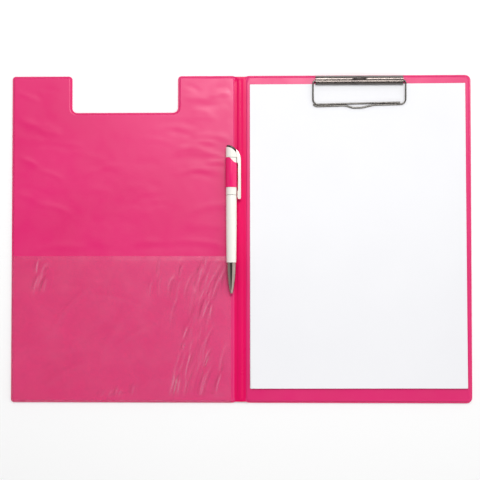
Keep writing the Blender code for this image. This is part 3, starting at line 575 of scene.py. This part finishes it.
def cover_wrinkles():
    """Soft, nearly level creases of the cover's inside foil, most of them near its two sides."""
    ridges = scattered_ridges(18, ((-0.222, 0.03), (-0.185, 0.148)), -0.12, 0.2, 14, 2.2, 0.28)
    ridges += scattered_ridges(18, ((-0.062, 0.060), (-0.014, 0.152)), -0.12, 0.22, 14, 2.2, 0.26)
    ridges += scattered_ridges(22, ((-0.19, 0.00), (-0.03, 0.11)), -0.05, 0.3, 15, 2.8, 0.14)
    ridges += scattered_ridges(8, ((-0.20, -0.012), (-0.03, -0.002)), 0.0, 0.05, 26, 2.5, 0.18)

    def field(points):
        creases = ridge_field(points, ridges)
        creases = creases + 0.12 * MM * soft_noise(points, 90 * MM, 2)
        return creases + 0.03 * MM * soft_noise(points, 16 * MM, 3)

    return field


def board_wrinkles(points):
    return 0.05 * MM * soft_noise(points, 70 * MM, 5)


def pocket_wrinkles():
    """Sharper, steep creases of the pocket film, most of them near the spine and a few at its corners."""
    steep = math.radians(76)
    ridges = scattered_ridges(46, ((-0.066, -0.150), (-0.014, -0.030)), steep, 0.08, 17, 1.4, 0.34)
    ridges += scattered_ridges(14, ((-0.092, -0.052), (-0.020, -0.022)), steep, 0.25, 9, 1.3, 0.30)
    ridges += scattered_ridges(6, ((-0.212, -0.048), (-0.186, -0.024)), steep, 0.2, 9, 1.5, 0.40)
    ridges += scattered_ridges(10, ((-0.140, -0.157), (-0.095, -0.146)), steep, 0.3, 6, 1.3, 0.42)
    ridges += scattered_ridges(6, ((-0.046, -0.157), (-0.014, -0.150)), 0.0, 0.08, 12, 1.0, 0.40)
    ridges += scattered_ridges(14, ((-0.20, -0.14), (-0.08, -0.04)), 0.5, 0.8, 22, 3, 0.12)

    def field(points):
        return ridge_field(points, ridges) + 0.12 * MM * soft_noise(points, 60 * MM, 8)

    return field


def make_folder():
    cover = inside_skin("cover_inside_skin", cover_outline, -1, cover_wrinkles(), 2.4 * MM)
    board = inside_skin("board_inside_skin", board_outline, 1, board_wrinkles, 4 * MM)
    cover_back = outside_skin("cover_outside_skin", cover_outline, -1, 5 * MM)
    board_back = outside_skin("board_outside_skin", board_outline, 1, 5 * MM)
    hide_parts("cover_inner_foil", "spine_inner_foil")
    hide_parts("board_inner_foil")
    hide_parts("cover_outer_foil", "spine_outer_foil")
    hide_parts("board_outer_foil")


def make_pocket():
    """The clear film: welded at the rim, lying over the cover, open at its top and at the spine."""
    low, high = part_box("pocket_film")
    mouth, right = high.y, high.x

    def outline_at(inset):
        return arc_corners([
            (low.x + inset, low.y + inset, max(COVER_CORNER - inset, 0.0)),
            (right - inset * 0.2, low.y + inset, 0),
            (right - inset * 0.2, mouth - inset * 0.2, 0),
            (low.x + inset, mouth - inset * 0.2, 0),
        ])

    plan, faces = filled_outline(outline_at, FILM_PITCH, RIM_RINGS)
    free = np.minimum(plan[:, 0] - low.x, plan[:, 1] - low.y)
    rim = rim_height(np.maximum(free, 0.0) + 0.2 * MM)
    loose = smoothstep(2.5 * MM, 12 * MM, free)
    loose *= smoothstep(0.5 * MM, 7 * MM, right - plan[:, 0]) * smoothstep(0.0, 5 * MM, mouth - plan[:, 1])
    wrinkles = pocket_wrinkles()
    creases = np.clip(wrinkles(plan), DEEPEST_FOLD, HIGHEST_FOLD)
    # the film's slope, kept for the painted crease shade and highlight in its material
    rise = wrinkles(plan + SLOPE_STEP) - wrinkles(plan - SLOPE_STEP)
    slope = loose * rise / (2 * np.linalg.norm(SLOPE_STEP))
    lift = FILM_GAP + loose * (FILM_SLACK + creases)
    cover_form = smoothstep(3 * MM, 14 * MM, free) * np.maximum(cover_form_under_film(plan), -0.1 * MM)
    lip = MOUTH_LIP * np.exp(-((mouth - plan[:, 1]) / (0.8 * MM)) ** 2)
    height = rim + lift + cover_form + lip * loose
    obj = mesh_object("pocket_film_skin", np.column_stack([plan, height]), faces)
    slopes = obj.data.attributes.new("slope", "FLOAT", "POINT")
    slopes.data.foreach_set("value", slope.astype(np.float32))
    solidify(obj, FILM)
    finish_piece(obj, "film", "cover", "clear_film", "pocket_film")


def cover_form_under_film(points):
    """The cover's broad waves, which the film follows."""
    return 0.10 * MM * soft_noise(points, 90 * MM, 2)


# Paper

PAPER_UNDER_CLIP = 1.3 * MM              # the sheets lie this much further up than the CAD sheet
TOP_SHEET = 0.1 * MM
UNDER_SHEET = 0.09 * MM
SHEET_PITCH = 0.11 * MM
TOP_TURN = 0.2                           # degrees
UNDER_TURNS = (0.10, 0.24, 0.03)


def curled_sheet(name, low, high, z, thickness, degrees, lift, nx=60, ny=84):
    """A sheet turned a little about the middle of its upper edge, lifting along its bottom and its sides."""
    turn = math.radians(degrees)
    centre = Vector(((low.x + high.x) / 2, high.y + PAPER_UNDER_CLIP))
    verts, faces = [], []
    for j in range(ny + 1):
        for i in range(nx + 1):
            x = low.x + (high.x - low.x) * i / nx - centre.x
            y = (low.y - high.y) * (1 - j / ny)
            u, v = i / nx, 1 - j / ny
            rise = lift * (v**7 + 0.35 * u**10 + 0.2 * (1 - u) ** 14 * v)
            rise += 0.06 * MM * math.sin(9 * v + 3 * u) * v * (1 - v) * 4
            px = centre.x + x * math.cos(turn) - y * math.sin(turn)
            py = centre.y + x * math.sin(turn) + y * math.cos(turn)
            verts.append((px, py, z + rise))
    for j in range(ny):
        for i in range(nx):
            k = j * (nx + 1) + i
            faces.append((k, k + 1, k + nx + 2, k + nx + 1))
    return solidify(mesh_object(name, verts, faces), thickness, 1.0)


def make_paper():
    """A top sheet that lifts a little along its bottom edge, over a fanned stack."""
    low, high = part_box("paper_top_sheet")
    stack_low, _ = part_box("paper_stack")
    top = curled_sheet("top_sheet", low, high, low.z, TOP_SHEET, TOP_TURN, 1.1 * MM)
    finish_piece(top, "paper", "paper", "paper", "paper_top_sheet")
    for k, degrees in enumerate(UNDER_TURNS):
        z = stack_low.z + (2 - k) * SHEET_PITCH
        lift = (0.8 - 0.25 * k) * MM
        under = curled_sheet(f"sheet_under_{k + 1}", low, high, z, UNDER_SHEET, degrees, lift, 30, 42)
        finish_piece(under, "paper", "paper", "paper", "paper_stack")


# Clip

CHANNEL_LOW, CHANNEL_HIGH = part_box("clip_channel")
CLIP_X = (CHANNEL_LOW.x + CHANNEL_HIGH.x) / 2
LEFT_LOW, LEFT_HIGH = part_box("bail_left_wire")
RIGHT_LOW, RIGHT_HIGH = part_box("bail_right_wire")
WIRE = 1.6 * MM
BAIL_HALF = CLIP_X - LEFT_LOW.x - WIRE / 2
BAR_Z = LEFT_LOW.z + WIRE / 2
BAIL_REACH = 23.2 * MM
BAIL_SKEW = 1.9 * MM
BAR_PITCH = WIRE + 0.15 * MM
DOME_HALF = 8 * MM
FRONT_LIP_RAISED = 0.75 * MM             # over the paper, which runs in under it
CHANNEL_HEIGHT = 5.5 * MM
CHANNEL_METAL = 0.6 * MM
CHANNEL_FOOT = 0.05 * MM
DOME_RISE = 0.9 * MM
GROOVE_DEPTH = 0.8 * MM
CHANNEL_END = 0.4 * MM                   # the last stations are this far apart
BAIL_CORNER = 5 * MM
PIVOT_CORNER = 3 * MM
STUB = 30.3 * MM                         # from the clip's middle to each wire's end in the channel
REAR_BAR_SHORT = 5.3 * MM
CURL_DEGREES = 45                        # how far the front wire's end follows the left corner
CURL_STEPS = 12
LIFT_LENGTH = 29 * MM
LIFT_DEPTH = 2.5 * MM
LIFT_SHAPE = [                           # share of the length, depth and corner radius
    (0.52, 0.0, 9 * MM),
    (0.07, LIFT_DEPTH, 7 * MM),
    (-0.2, LIFT_DEPTH, 7 * MM),
    (-0.48, 0.0, 9 * MM),
]


def channel_section(x, rear, front, foot, top):
    """The channel's section at x: rear wall, domed back, groove and front slope."""
    share = min(1.0, abs(x) / DOME_HALF)
    rise = DOME_RISE * math.cos(share * math.pi / 2) ** 2
    floor = top - GROOVE_DEPTH
    corners = [
        (rear, foot, 0),
        (rear, foot + 1.2 * MM, 0.5 * MM),
        (rear - 1.9 * MM + 0.6 * rise, top - 0.6 * MM + 0.8 * rise, 0.8 * MM),
        (rear - 3.1 * MM, top + rise, 0.8 * MM),
        (rear - 4.6 * MM, top, 0.4 * MM),
        (rear - 5.2 * MM, floor, 0.3 * MM),
        (rear - 6.2 * MM, floor, 0.3 * MM),
        (rear - 6.8 * MM, top - 0.1 * MM, 0.4 * MM),
        (front + 0.4 * MM, top - 0.6 * MM, 0.8 * MM),
        (front, foot + FRONT_LIP_RAISED, 0),
    ]
    return bent_path([(CLIP_X + x, y, z, r) for y, z, r in corners], steps=5)


def make_channel():
    rear, front = CHANNEL_HIGH.y, CHANNEL_LOW.y
    foot = CHANNEL_LOW.z + CHANNEL_FOOT
    top = foot + CHANNEL_HEIGHT
    half = (CHANNEL_HIGH.x - CHANNEL_LOW.x) / 2
    stations = [-half, -half + CHANNEL_END, -half + 3 * MM, -half / 2, -DOME_HALF - 4 * MM]
    stations += [DOME_HALF * k / 10 for k in range(-10, 11)]
    stations += [DOME_HALF + 4 * MM, half / 2, half - 3 * MM, half - CHANNEL_END, half]
    rows = [channel_section(x, rear, front, foot, top) for x in stations]
    verts = [p for row in rows for p in row]
    n = len(rows[0])
    faces = []
    for j in range(len(rows) - 1):
        for k in range(n - 1):
            faces.append((j * n + k, j * n + k + 1, (j + 1) * n + k + 1, (j + 1) * n + k))
    obj = solidify(mesh_object("clip_channel_skin", verts, faces), CHANNEL_METAL)
    finish_piece(obj, "chrome", "back_board", "chrome", "clip_channel")


def wire_mesh(name, points, thickness, resolution=4):
    """A round wire along a path."""
    curve = bpy.data.curves.new(name, "CURVE")
    curve.dimensions = "3D"
    curve.bevel_depth = thickness / 2
    curve.bevel_resolution = resolution
    curve.use_fill_caps = True
    spline = curve.splines.new("POLY")
    spline.points.add(len(points) - 1)
    for point, place in zip(spline.points, points):
        point.co = (*place, 1.0)
    spline.use_smooth = True
    obj = link(name, curve)
    depsgraph = bpy.context.evaluated_depsgraph_get()
    mesh = bpy.data.meshes.new_from_object(obj.evaluated_get(depsgraph))
    bpy.data.objects.remove(obj)
    return link(name, mesh)


def make_bail():
    left, right = CLIP_X - BAIL_HALF, CLIP_X + BAIL_HALF
    front = PIVOT.y - BAIL_REACH

    def bar_y(x, row):
        return front + BAIL_SKEW * (x - CLIP_X) / (2 * BAIL_HALF) + row * BAR_PITCH / 2

    rear_end = right - REAR_BAR_SHORT
    rear = [
        (CLIP_X - STUB, PIVOT.y, PIVOT.z, 0),
        (left, PIVOT.y, PIVOT.z, PIVOT_CORNER),
        (left, bar_y(left, 1), BAR_Z, BAIL_CORNER),
        (rear_end, bar_y(rear_end, 1), BAR_Z, 0),
    ]
    fore = [
        (CLIP_X + STUB, PIVOT.y, PIVOT.z, 0),
        (right, PIVOT.y, PIVOT.z, PIVOT_CORNER),
        (right, bar_y(right, -1), BAR_Z, BAIL_CORNER),
    ]
    for share, depth, radius in LIFT_SHAPE:
        x = CLIP_X + share * LIFT_LENGTH
        fore.append((x, bar_y(x, -1) - depth, BAR_Z, radius))
    curl_x, curl_y = left + BAIL_CORNER, bar_y(left, 1) + BAIL_CORNER
    reach = BAIL_CORNER + BAR_PITCH
    for k in range(CURL_STEPS + 1):
        turn = math.radians(CURL_DEGREES) * k / CURL_STEPS
        fore.append((curl_x - reach * math.sin(turn), curl_y - reach * math.cos(turn), BAR_Z, 0))
    left_wire = wire_mesh("bail_wire_left", bent_path(rear), WIRE)
    right_wire = wire_mesh("bail_wire_right", bent_path(fore), WIRE)
    finish_piece(left_wire, "wire", "bail", "chrome", "bail_left_wire")
    finish_piece(right_wire, "wire", "bail", "chrome", "bail_right_wire")


# Pen

NOZZLE_LOW, NOZZLE_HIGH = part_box("pen_nozzle")
LOWER_LOW, LOWER_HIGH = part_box("pen_lower_barrel")
HEAD_LOW, HEAD_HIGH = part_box("pen_head_with_clip")
LOOP_LOW, LOOP_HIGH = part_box("pen_loop")
PEN_X = (LOWER_LOW.x + LOWER_HIGH.x) / 2
PEN_Z = (LOWER_LOW.z + LOWER_HIGH.z) / 2
TIP_Y = NOZZLE_LOW.y
BARREL = (LOWER_HIGH.x - LOWER_LOW.x) / 2
NOZZLE_LENGTH = 29.7 * MM
BARREL_END = 4.75 * MM
JOINT_AT = 95.6 * MM
HEAD_AT = 132.3 * MM
HEAD_RADIUS = 5.4 * MM
HEAD_WALL = 0.6 * MM
ARC_AT = 129.7 * MM
CLIP_OUTER = 9.3 * MM
CLIP_INNER = 6.6 * MM
ARC_RADIUS = HEAD_RADIUS + CLIP_OUTER
BUTTON_SHOWS = 2.3 * MM
BUTTON_FOOT = 4.4 * MM                   # the button's lower end, above the head's
BARREL_BORE = 4.1 * MM
BARREL_TAPER = 45 * MM
BARREL_GAP = 0.15 * MM                   # half the gap between the two barrels
HEAD_EDGE = 0.15 * MM
NOZZLE_MOUTH = 1.5 * MM
NOZZLE_MOUTH_LENGTH = 0.9 * MM
NOZZLE_BORE = 1.2 * MM
NOZZLE_WIDE_BORE = 1.8 * MM
NOZZLE_SOCKET = 2.75 * MM
NOZZLE_SWELL = 0.75
CLIP_BAR_START = 91.8 * MM
CLIP_BAR_HALF = 1.9 * MM
LOOP_WALL = 0.3 * MM
LOOP_CUT = 5 * MM                        # how far the loop is cut back beside the pen clip
SPRING_WIRE = 0.4 * MM
SPRING_TURNS = 6
SIDES = 72


def turned(name, profile, sides=SIDES):
    """A closed turned piece along the pen's axis, from a closed loop of (radius, distance) points."""
    verts = []
    for j in range(sides):
        turn = 2 * math.pi * j / sides
        for radius, along in profile:
            verts.append((PEN_X + radius * math.cos(turn), TIP_Y + along, PEN_Z + radius * math.sin(turn)))
    obj = mesh_object(name, verts, ring_faces(sides, len(profile)))
    return face_outwards(obj, TURNED_SHARP, merge=True)


def rounded_end(radius, along, fillet):
    """Profile points that round an outer edge at a piece's far end."""
    points = []
    for k in range(6):
        t = math.pi / 2 * k / 5
        points.append((radius - fillet + fillet * math.sin(t), along - fillet * (1 - math.cos(t))))
    return points


def arc_height(x, radius):
    """How far along the pen an arc over the head is, at x from the pen's axis."""
    reach = min(abs(x + HEAD_RADIUS), radius)
    return ARC_AT + math.sqrt(radius**2 - reach**2)


def make_nozzle():
    """The metal nozzle: a swelling cone with a short mouth, bored for the refill."""
    cone = NOZZLE_LENGTH - NOZZLE_MOUTH_LENGTH
    end = NOZZLE_LENGTH - 0.02 * MM
    profile = [(NOZZLE_SOCKET, end), (BARREL_END - 0.15 * MM, end)]
    for k in range(25):
        share = 1 - k / 24
        radius = NOZZLE_MOUTH + (BARREL_END - NOZZLE_MOUTH) * math.sin(share * math.pi / 2) ** NOZZLE_SWELL
        profile.append((radius, NOZZLE_MOUTH_LENGTH + cone * share))
    profile += [(NOZZLE_MOUTH, 0.25 * MM), (NOZZLE_MOUTH - 0.1 * MM, 0.05 * MM), (NOZZLE_BORE, 0.0)]
    profile += [(NOZZLE_BORE, 7 * MM), (NOZZLE_WIDE_BORE, 8 * MM)]
    profile += [(NOZZLE_WIDE_BORE, 20 * MM), (NOZZLE_SOCKET, 20 * MM)]
    finish_piece(turned("pen_nozzle_skin", profile), "nozzle", "pen", "chrome", "pen_nozzle")


def make_barrels():
    """The lower barrel, which tapers to the nozzle, and the upper barrel."""
    low = NOZZLE_LENGTH + 0.25 * MM
    joint = JOINT_AT - BARREL_GAP
    lower = [(BARREL_BORE, joint)]
    lower += rounded_end(BARREL, joint, 0.25 * MM)
    lower += [(BARREL, low + BARREL_TAPER)]
    for k in range(9, 0, -1):
        radius = BARREL_END + (BARREL - BARREL_END) * math.sin(k / 10 * math.pi / 2)
        lower.append((radius, low + BARREL_TAPER * k / 10))
    lower += [(BARREL_END, low + 0.2 * MM), (BARREL_END - 0.2 * MM, low), (BARREL_BORE, low)]
    finish_piece(turned("pen_barrel_lower_skin", lower), "white", "pen", "white_plastic", "pen_lower_barrel")
    head = HEAD_AT - 0.3 * MM
    joint = JOINT_AT + BARREL_GAP
    upper = [(BARREL_BORE, head), (BARREL - 0.2 * MM, head), (BARREL, head - 0.2 * MM)]
    upper += [(BARREL, JOINT_AT + 0.4 * MM), (BARREL - 0.25 * MM, joint), (BARREL_BORE, joint)]
    finish_piece(turned("pen_barrel_upper_skin", upper), "white", "pen", "white_plastic", "pen_upper_barrel")


def make_head():
    """The head tube, its top following the arc."""
    bore = HEAD_RADIUS - HEAD_WALL
    levels = 14
    verts = []
    for j in range(SIDES):
        turn = 2 * math.pi * j / SIDES
        c, s = math.cos(turn), math.sin(turn)
        top = arc_height(HEAD_RADIUS * c, ARC_RADIUS - BUTTON_SHOWS)
        column = [(HEAD_RADIUS - HEAD_EDGE, HEAD_AT), (HEAD_RADIUS, HEAD_AT + HEAD_EDGE)]
        for k in range(1, levels + 1):
            column.append((HEAD_RADIUS, HEAD_AT + (top - HEAD_AT) * k / levels))
        column += [(HEAD_RADIUS - 0.2 * MM, top + 0.2 * MM), (bore, top + 0.25 * MM), (bore, HEAD_AT)]
        for radius, along in column:
            verts.append((PEN_X + radius * c, TIP_Y + along, PEN_Z + radius * s))
    obj = mesh_object("pen_head_skin", verts, ring_faces(SIDES, len(column)))
    face_outwards(obj, TUBE_SHARP)
    finish_piece(obj, "white", "pen", "white_plastic", "pen_head_with_clip")


def make_pen_clip():
    """The clip bar beside the barrel, curved over into the head."""
    start, root = CLIP_BAR_START, HEAD_AT - 5 * MM
    pad = LOOP_HIGH.z - PEN_Z + 0.3 * MM
    bore_side = HEAD_RADIUS - HEAD_WALL + 0.1 * MM
    barrel_side = BARREL + 0.3 * MM
    centre = (-HEAD_RADIUS, ARC_AT)
    last = math.acos((HEAD_RADIUS + bore_side) / ARC_RADIUS)
    arc = []
    for k in range(17):
        t = last * k / 16
        arc.append((centre[0] + ARC_RADIUS * math.cos(t), centre[1] + ARC_RADIUS * math.sin(t), 0))
    corners = [
        (CLIP_INNER, start, 0.9 * MM),
        (CLIP_OUTER, start, 1.3 * MM),
        *arc,
        (bore_side, HEAD_AT + 0.3 * MM, 0),
        (barrel_side, HEAD_AT + 0.3 * MM, 0),
        (barrel_side, root, 0.2 * MM),
        (CLIP_INNER, root, 1.2 * MM),
        (CLIP_INNER, start + 9 * MM, 1.5 * MM),
        (pad, start + 7 * MM, 1.5 * MM),
        (pad, start + 2 * MM, 1 * MM),
    ]
    outline = arc_corners([(PEN_X + x, TIP_Y + y, r) for x, y, r in corners], 5)
    bm = bmesh.new()
    face = bm.faces.new([bm.verts.new((p.x, p.y, PEN_Z - CLIP_BAR_HALF)) for p in outline])
    lifted = bmesh.ops.extrude_face_region(bm, geom=[face])
    moved = [g for g in lifted["geom"] if isinstance(g, bmesh.types.BMVert)]
    bmesh.ops.translate(bm, vec=(0, 0, 2 * CLIP_BAR_HALF), verts=moved)
    bmesh.ops.recalc_face_normals(bm, faces=bm.faces)
    mesh = bpy.data.meshes.new("pen_clip_bar")
    bm.to_mesh(mesh)
    bm.free()
    obj = link("pen_clip_bar", mesh)
    bevel = obj.modifiers.new("round", "BEVEL")
    bevel.width = 0.45 * MM
    bevel.segments = 3
    bevel.limit_method = "ANGLE"
    bevel.angle_limit = math.radians(60)
    apply_modifiers(obj)
    obj.data.shade_smooth()
    obj.data.set_sharp_from_angle(angle=math.radians(TURNED_SHARP))
    finish_piece(obj, "white", "pen", "white_plastic", "pen_head_with_clip")


def make_button():
    """The dark push button, its top following the outer arc."""
    cap = HEAD_RADIUS - HEAD_WALL - 0.2 * MM
    hub = 0.03                               # the share of the radius that a flat face closes
    rings = 8
    top = [(cap * (hub + (1 - hub) * k / rings), 0.0) for k in range(rings)]
    top += [(cap, -0.2 * MM), (cap, -0.5 * MM)]
    foot = HEAD_AT + BUTTON_FOOT
    verts = []
    for j in range(SIDES):
        turn = 2 * math.pi * j / SIDES
        c, s = math.cos(turn), math.sin(turn)
        column = [(radius, arc_height(radius * c, ARC_RADIUS) + drop) for radius, drop in top]
        column += [(cap, foot), (cap * hub, foot)]
        for radius, along in column:
            verts.append((PEN_X + radius * c, TIP_Y + along, PEN_Z + radius * s))
    n = len(column)
    faces = ring_faces(SIDES, n, closed=False)
    faces.append([j * n for j in range(SIDES)])
    faces.append([j * n + n - 1 for j in range(SIDES)])
    obj = mesh_object("pen_button_skin", verts, faces)
    face_outwards(obj, TUBE_SHARP)
    finish_piece(obj, "dark", "pen_push", "dark_plastic", "pen_button")


def make_loop():
    """The foil loop round the barrel, cut back beside the pen clip, and its tail under the pen."""
    low, high = LOOP_LOW.y, LOOP_HIGH.y
    outer = LOOP_HIGH.z - PEN_Z
    inner = outer - LOOP_WALL
    steps = 20
    verts = []
    for j in range(SIDES):
        turn = 2 * math.pi * j / SIDES
        c, s = math.cos(turn), math.sin(turn)
        cut = LOOP_CUT * smoothstep(-2.5 * MM, 4.2 * MM, outer * c) if s > -0.3 else 0.0
        top = high - float(cut)
        ring = []
        for k in range(steps + 1):
            puff = 0.10 * MM * math.sin(math.pi * k / steps) * max(0.0, s)
            ring.append((outer - 0.1 * MM + puff, low + (top - low) * k / steps))
        ring += [(inner, top), (inner, low)]
        verts += [(PEN_X + radius * c, y, PEN_Z + radius * s) for radius, y in ring]
    obj = mesh_object("pen_loop_skin", verts, ring_faces(SIDES, len(ring)))
    face_outwards(obj, TUBE_SHARP)
    finish_piece(obj, "loop", "pen_holder", "spine_foil", "pen_loop")
    make_loop_tail(low, high - LOOP_CUT)


def make_loop_tail(low, high):
    """The strip that ties the loop to the weld at the fold."""
    z = PANEL_TOP + 0.05 * MM
    left, right = PEN_X - 1.0 * MM, SPINE_GROOVE_LEFT - 0.6 * MM
    nx, ny = 16, 12
    verts, faces = [], []
    for i in range(nx + 1):
        share = i / nx
        x = left + (right - left) * share
        drop = 0.25 * MM * share**2
        for j in range(ny + 1):
            verts.append((x, low + (high - low) * j / ny, z + 0.1 * MM - drop))
    for i in range(nx):
        for j in range(ny):
            k = i * (ny + 1) + j
            faces.append((k, k + ny + 1, k + ny + 2, k + 1))
    obj = solidify(mesh_object("pen_loop_tail_skin", verts, faces), 0.2 * MM, 1.0)
    dress(obj, "loop")
    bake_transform(obj)


def make_spring():
    """The refill's coil spring, pushed shorter by the button."""
    low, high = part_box("pen_spring")
    per_turn = 24
    steps = SPRING_TURNS * per_turn
    radius = (high.x - low.x) / 2 - SPRING_WIRE / 2
    points = []
    for k in range(steps + 1):
        turn = 2 * math.pi * k / per_turn
        along = low.y + SPRING_WIRE / 2 + (high.y - low.y - SPRING_WIRE) * k / steps
        points.append((PEN_X + radius * math.cos(turn), along, PEN_Z + radius * math.sin(turn)))
    obj = wire_mesh("pen_spring_coil", points, SPRING_WIRE, 2)
    finish_piece(obj, "steel", "pen", "plated_steel", "pen_spring")
    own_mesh(obj)


# CAD nodes that keep their shape

CARRIED = {
    "board_greyboard": "greyboard",
    "cover_greyboard": "greyboard",
    "clip_base_plate": "steel",
    "clip_torsion_wire": "steel",
    "clip_rivet_left": "steel",
    "clip_rivet_right": "steel",
    "pen_thrust_tube": "blue",
    "pen_refill_tube": "ink",
    "pen_refill_tip": "brass",
}


def dress_carried_nodes():
    for node, material in CARRIED.items():
        dress(bpy.data.objects[node], material)


# Room

FLOOR_HALF = 3.0
FLOOR_Z = -0.05 * MM
CAMERA_TARGET = Vector((-0.0004, -0.0014, 0.003))
CAMERA_OFFSET = Vector((0.028, -0.030, 1.107))


def make_floor():
    corners = [(-1, -1), (1, -1), (1, 1), (-1, 1)]
    verts = [(FLOOR_HALF * x, FLOOR_HALF * y, FLOOR_Z) for x, y in corners]
    floor = mesh_object("studio_floor", verts, [(0, 1, 2, 3)], smooth=False)
    material = surface("studio_floor", (0.93, 0.93, 0.93), (0.92, 0.92, 0.92), (0.9, 0.95), grain=50,
                       grain_depth=0.0, blotch=2)
    floor.data.materials.append(material)


def area_light(name, place, size, power):
    """A soft rectangular light turned to the object's middle."""
    data = bpy.data.lights.new(name, "AREA")
    data.shape = "RECTANGLE"
    data.size, data.size_y = size
    data.energy = power
    obj = link(name, data)
    obj.location = place
    obj.rotation_euler = (-Vector(place)).to_track_quat("-Z", "Y").to_euler()


def make_light():
    """A pale room that is dim straight overhead and brighter towards the right, with two soft lights."""
    world = bpy.data.worlds.new("studio")
    world.use_nodes = True
    nodes, links = world.node_tree.nodes, world.node_tree.links
    background = nodes["Background"]
    background.inputs["Color"].default_value = (1.0, 1.0, 1.0, 1.0)
    height = nodes.new("ShaderNodeSeparateXYZ")
    links.new(nodes.new("ShaderNodeTexCoord").outputs["Generated"], height.inputs["Vector"])
    overhead = map_range(nodes, links, height.outputs["Z"], (0.80, 0.97), (0.95, 0.04), smooth=True)
    sideways = map_range(nodes, links, height.outputs["X"], (-0.7, 0.5), (0.45, 1.05))
    strength = nodes.new("ShaderNodeMath")
    strength.operation = "MULTIPLY"
    links.new(overhead, strength.inputs[0])
    links.new(sideways, strength.inputs[1])
    links.new(strength.outputs["Value"], background.inputs["Strength"])
    bpy.context.scene.world = world
    area_light("softbox", (0.10, 0.50, 1.15), (0.5, 0.36), 9.5)
    area_light("fill", (0.6, -0.9, 1.2), (1.2, 0.8), 1.0)


def make_camera():
    data = bpy.data.cameras.new("camera")
    data.sensor_width = 36
    data.lens = 85
    camera = link("camera", data)
    camera.location = CAMERA_TARGET + CAMERA_OFFSET
    back = CAMERA_OFFSET.normalized()
    right = Vector((0, 1, 0)).cross(back).normalized()
    camera.rotation_euler = Matrix((right, back.cross(right), back)).transposed().to_euler()
    bpy.context.scene.camera = camera
    bpy.context.scene.view_settings.view_transform = "Standard"
    bpy.context.scene.view_settings.look = "None"


make_camera()
make_light()
make_floor()
make_folder()
make_pocket()
make_paper()
make_channel()
make_bail()
make_nozzle()
make_barrels()
make_head()
make_pen_clip()
make_button()
make_loop()
make_spring()
dress_carried_nodes()
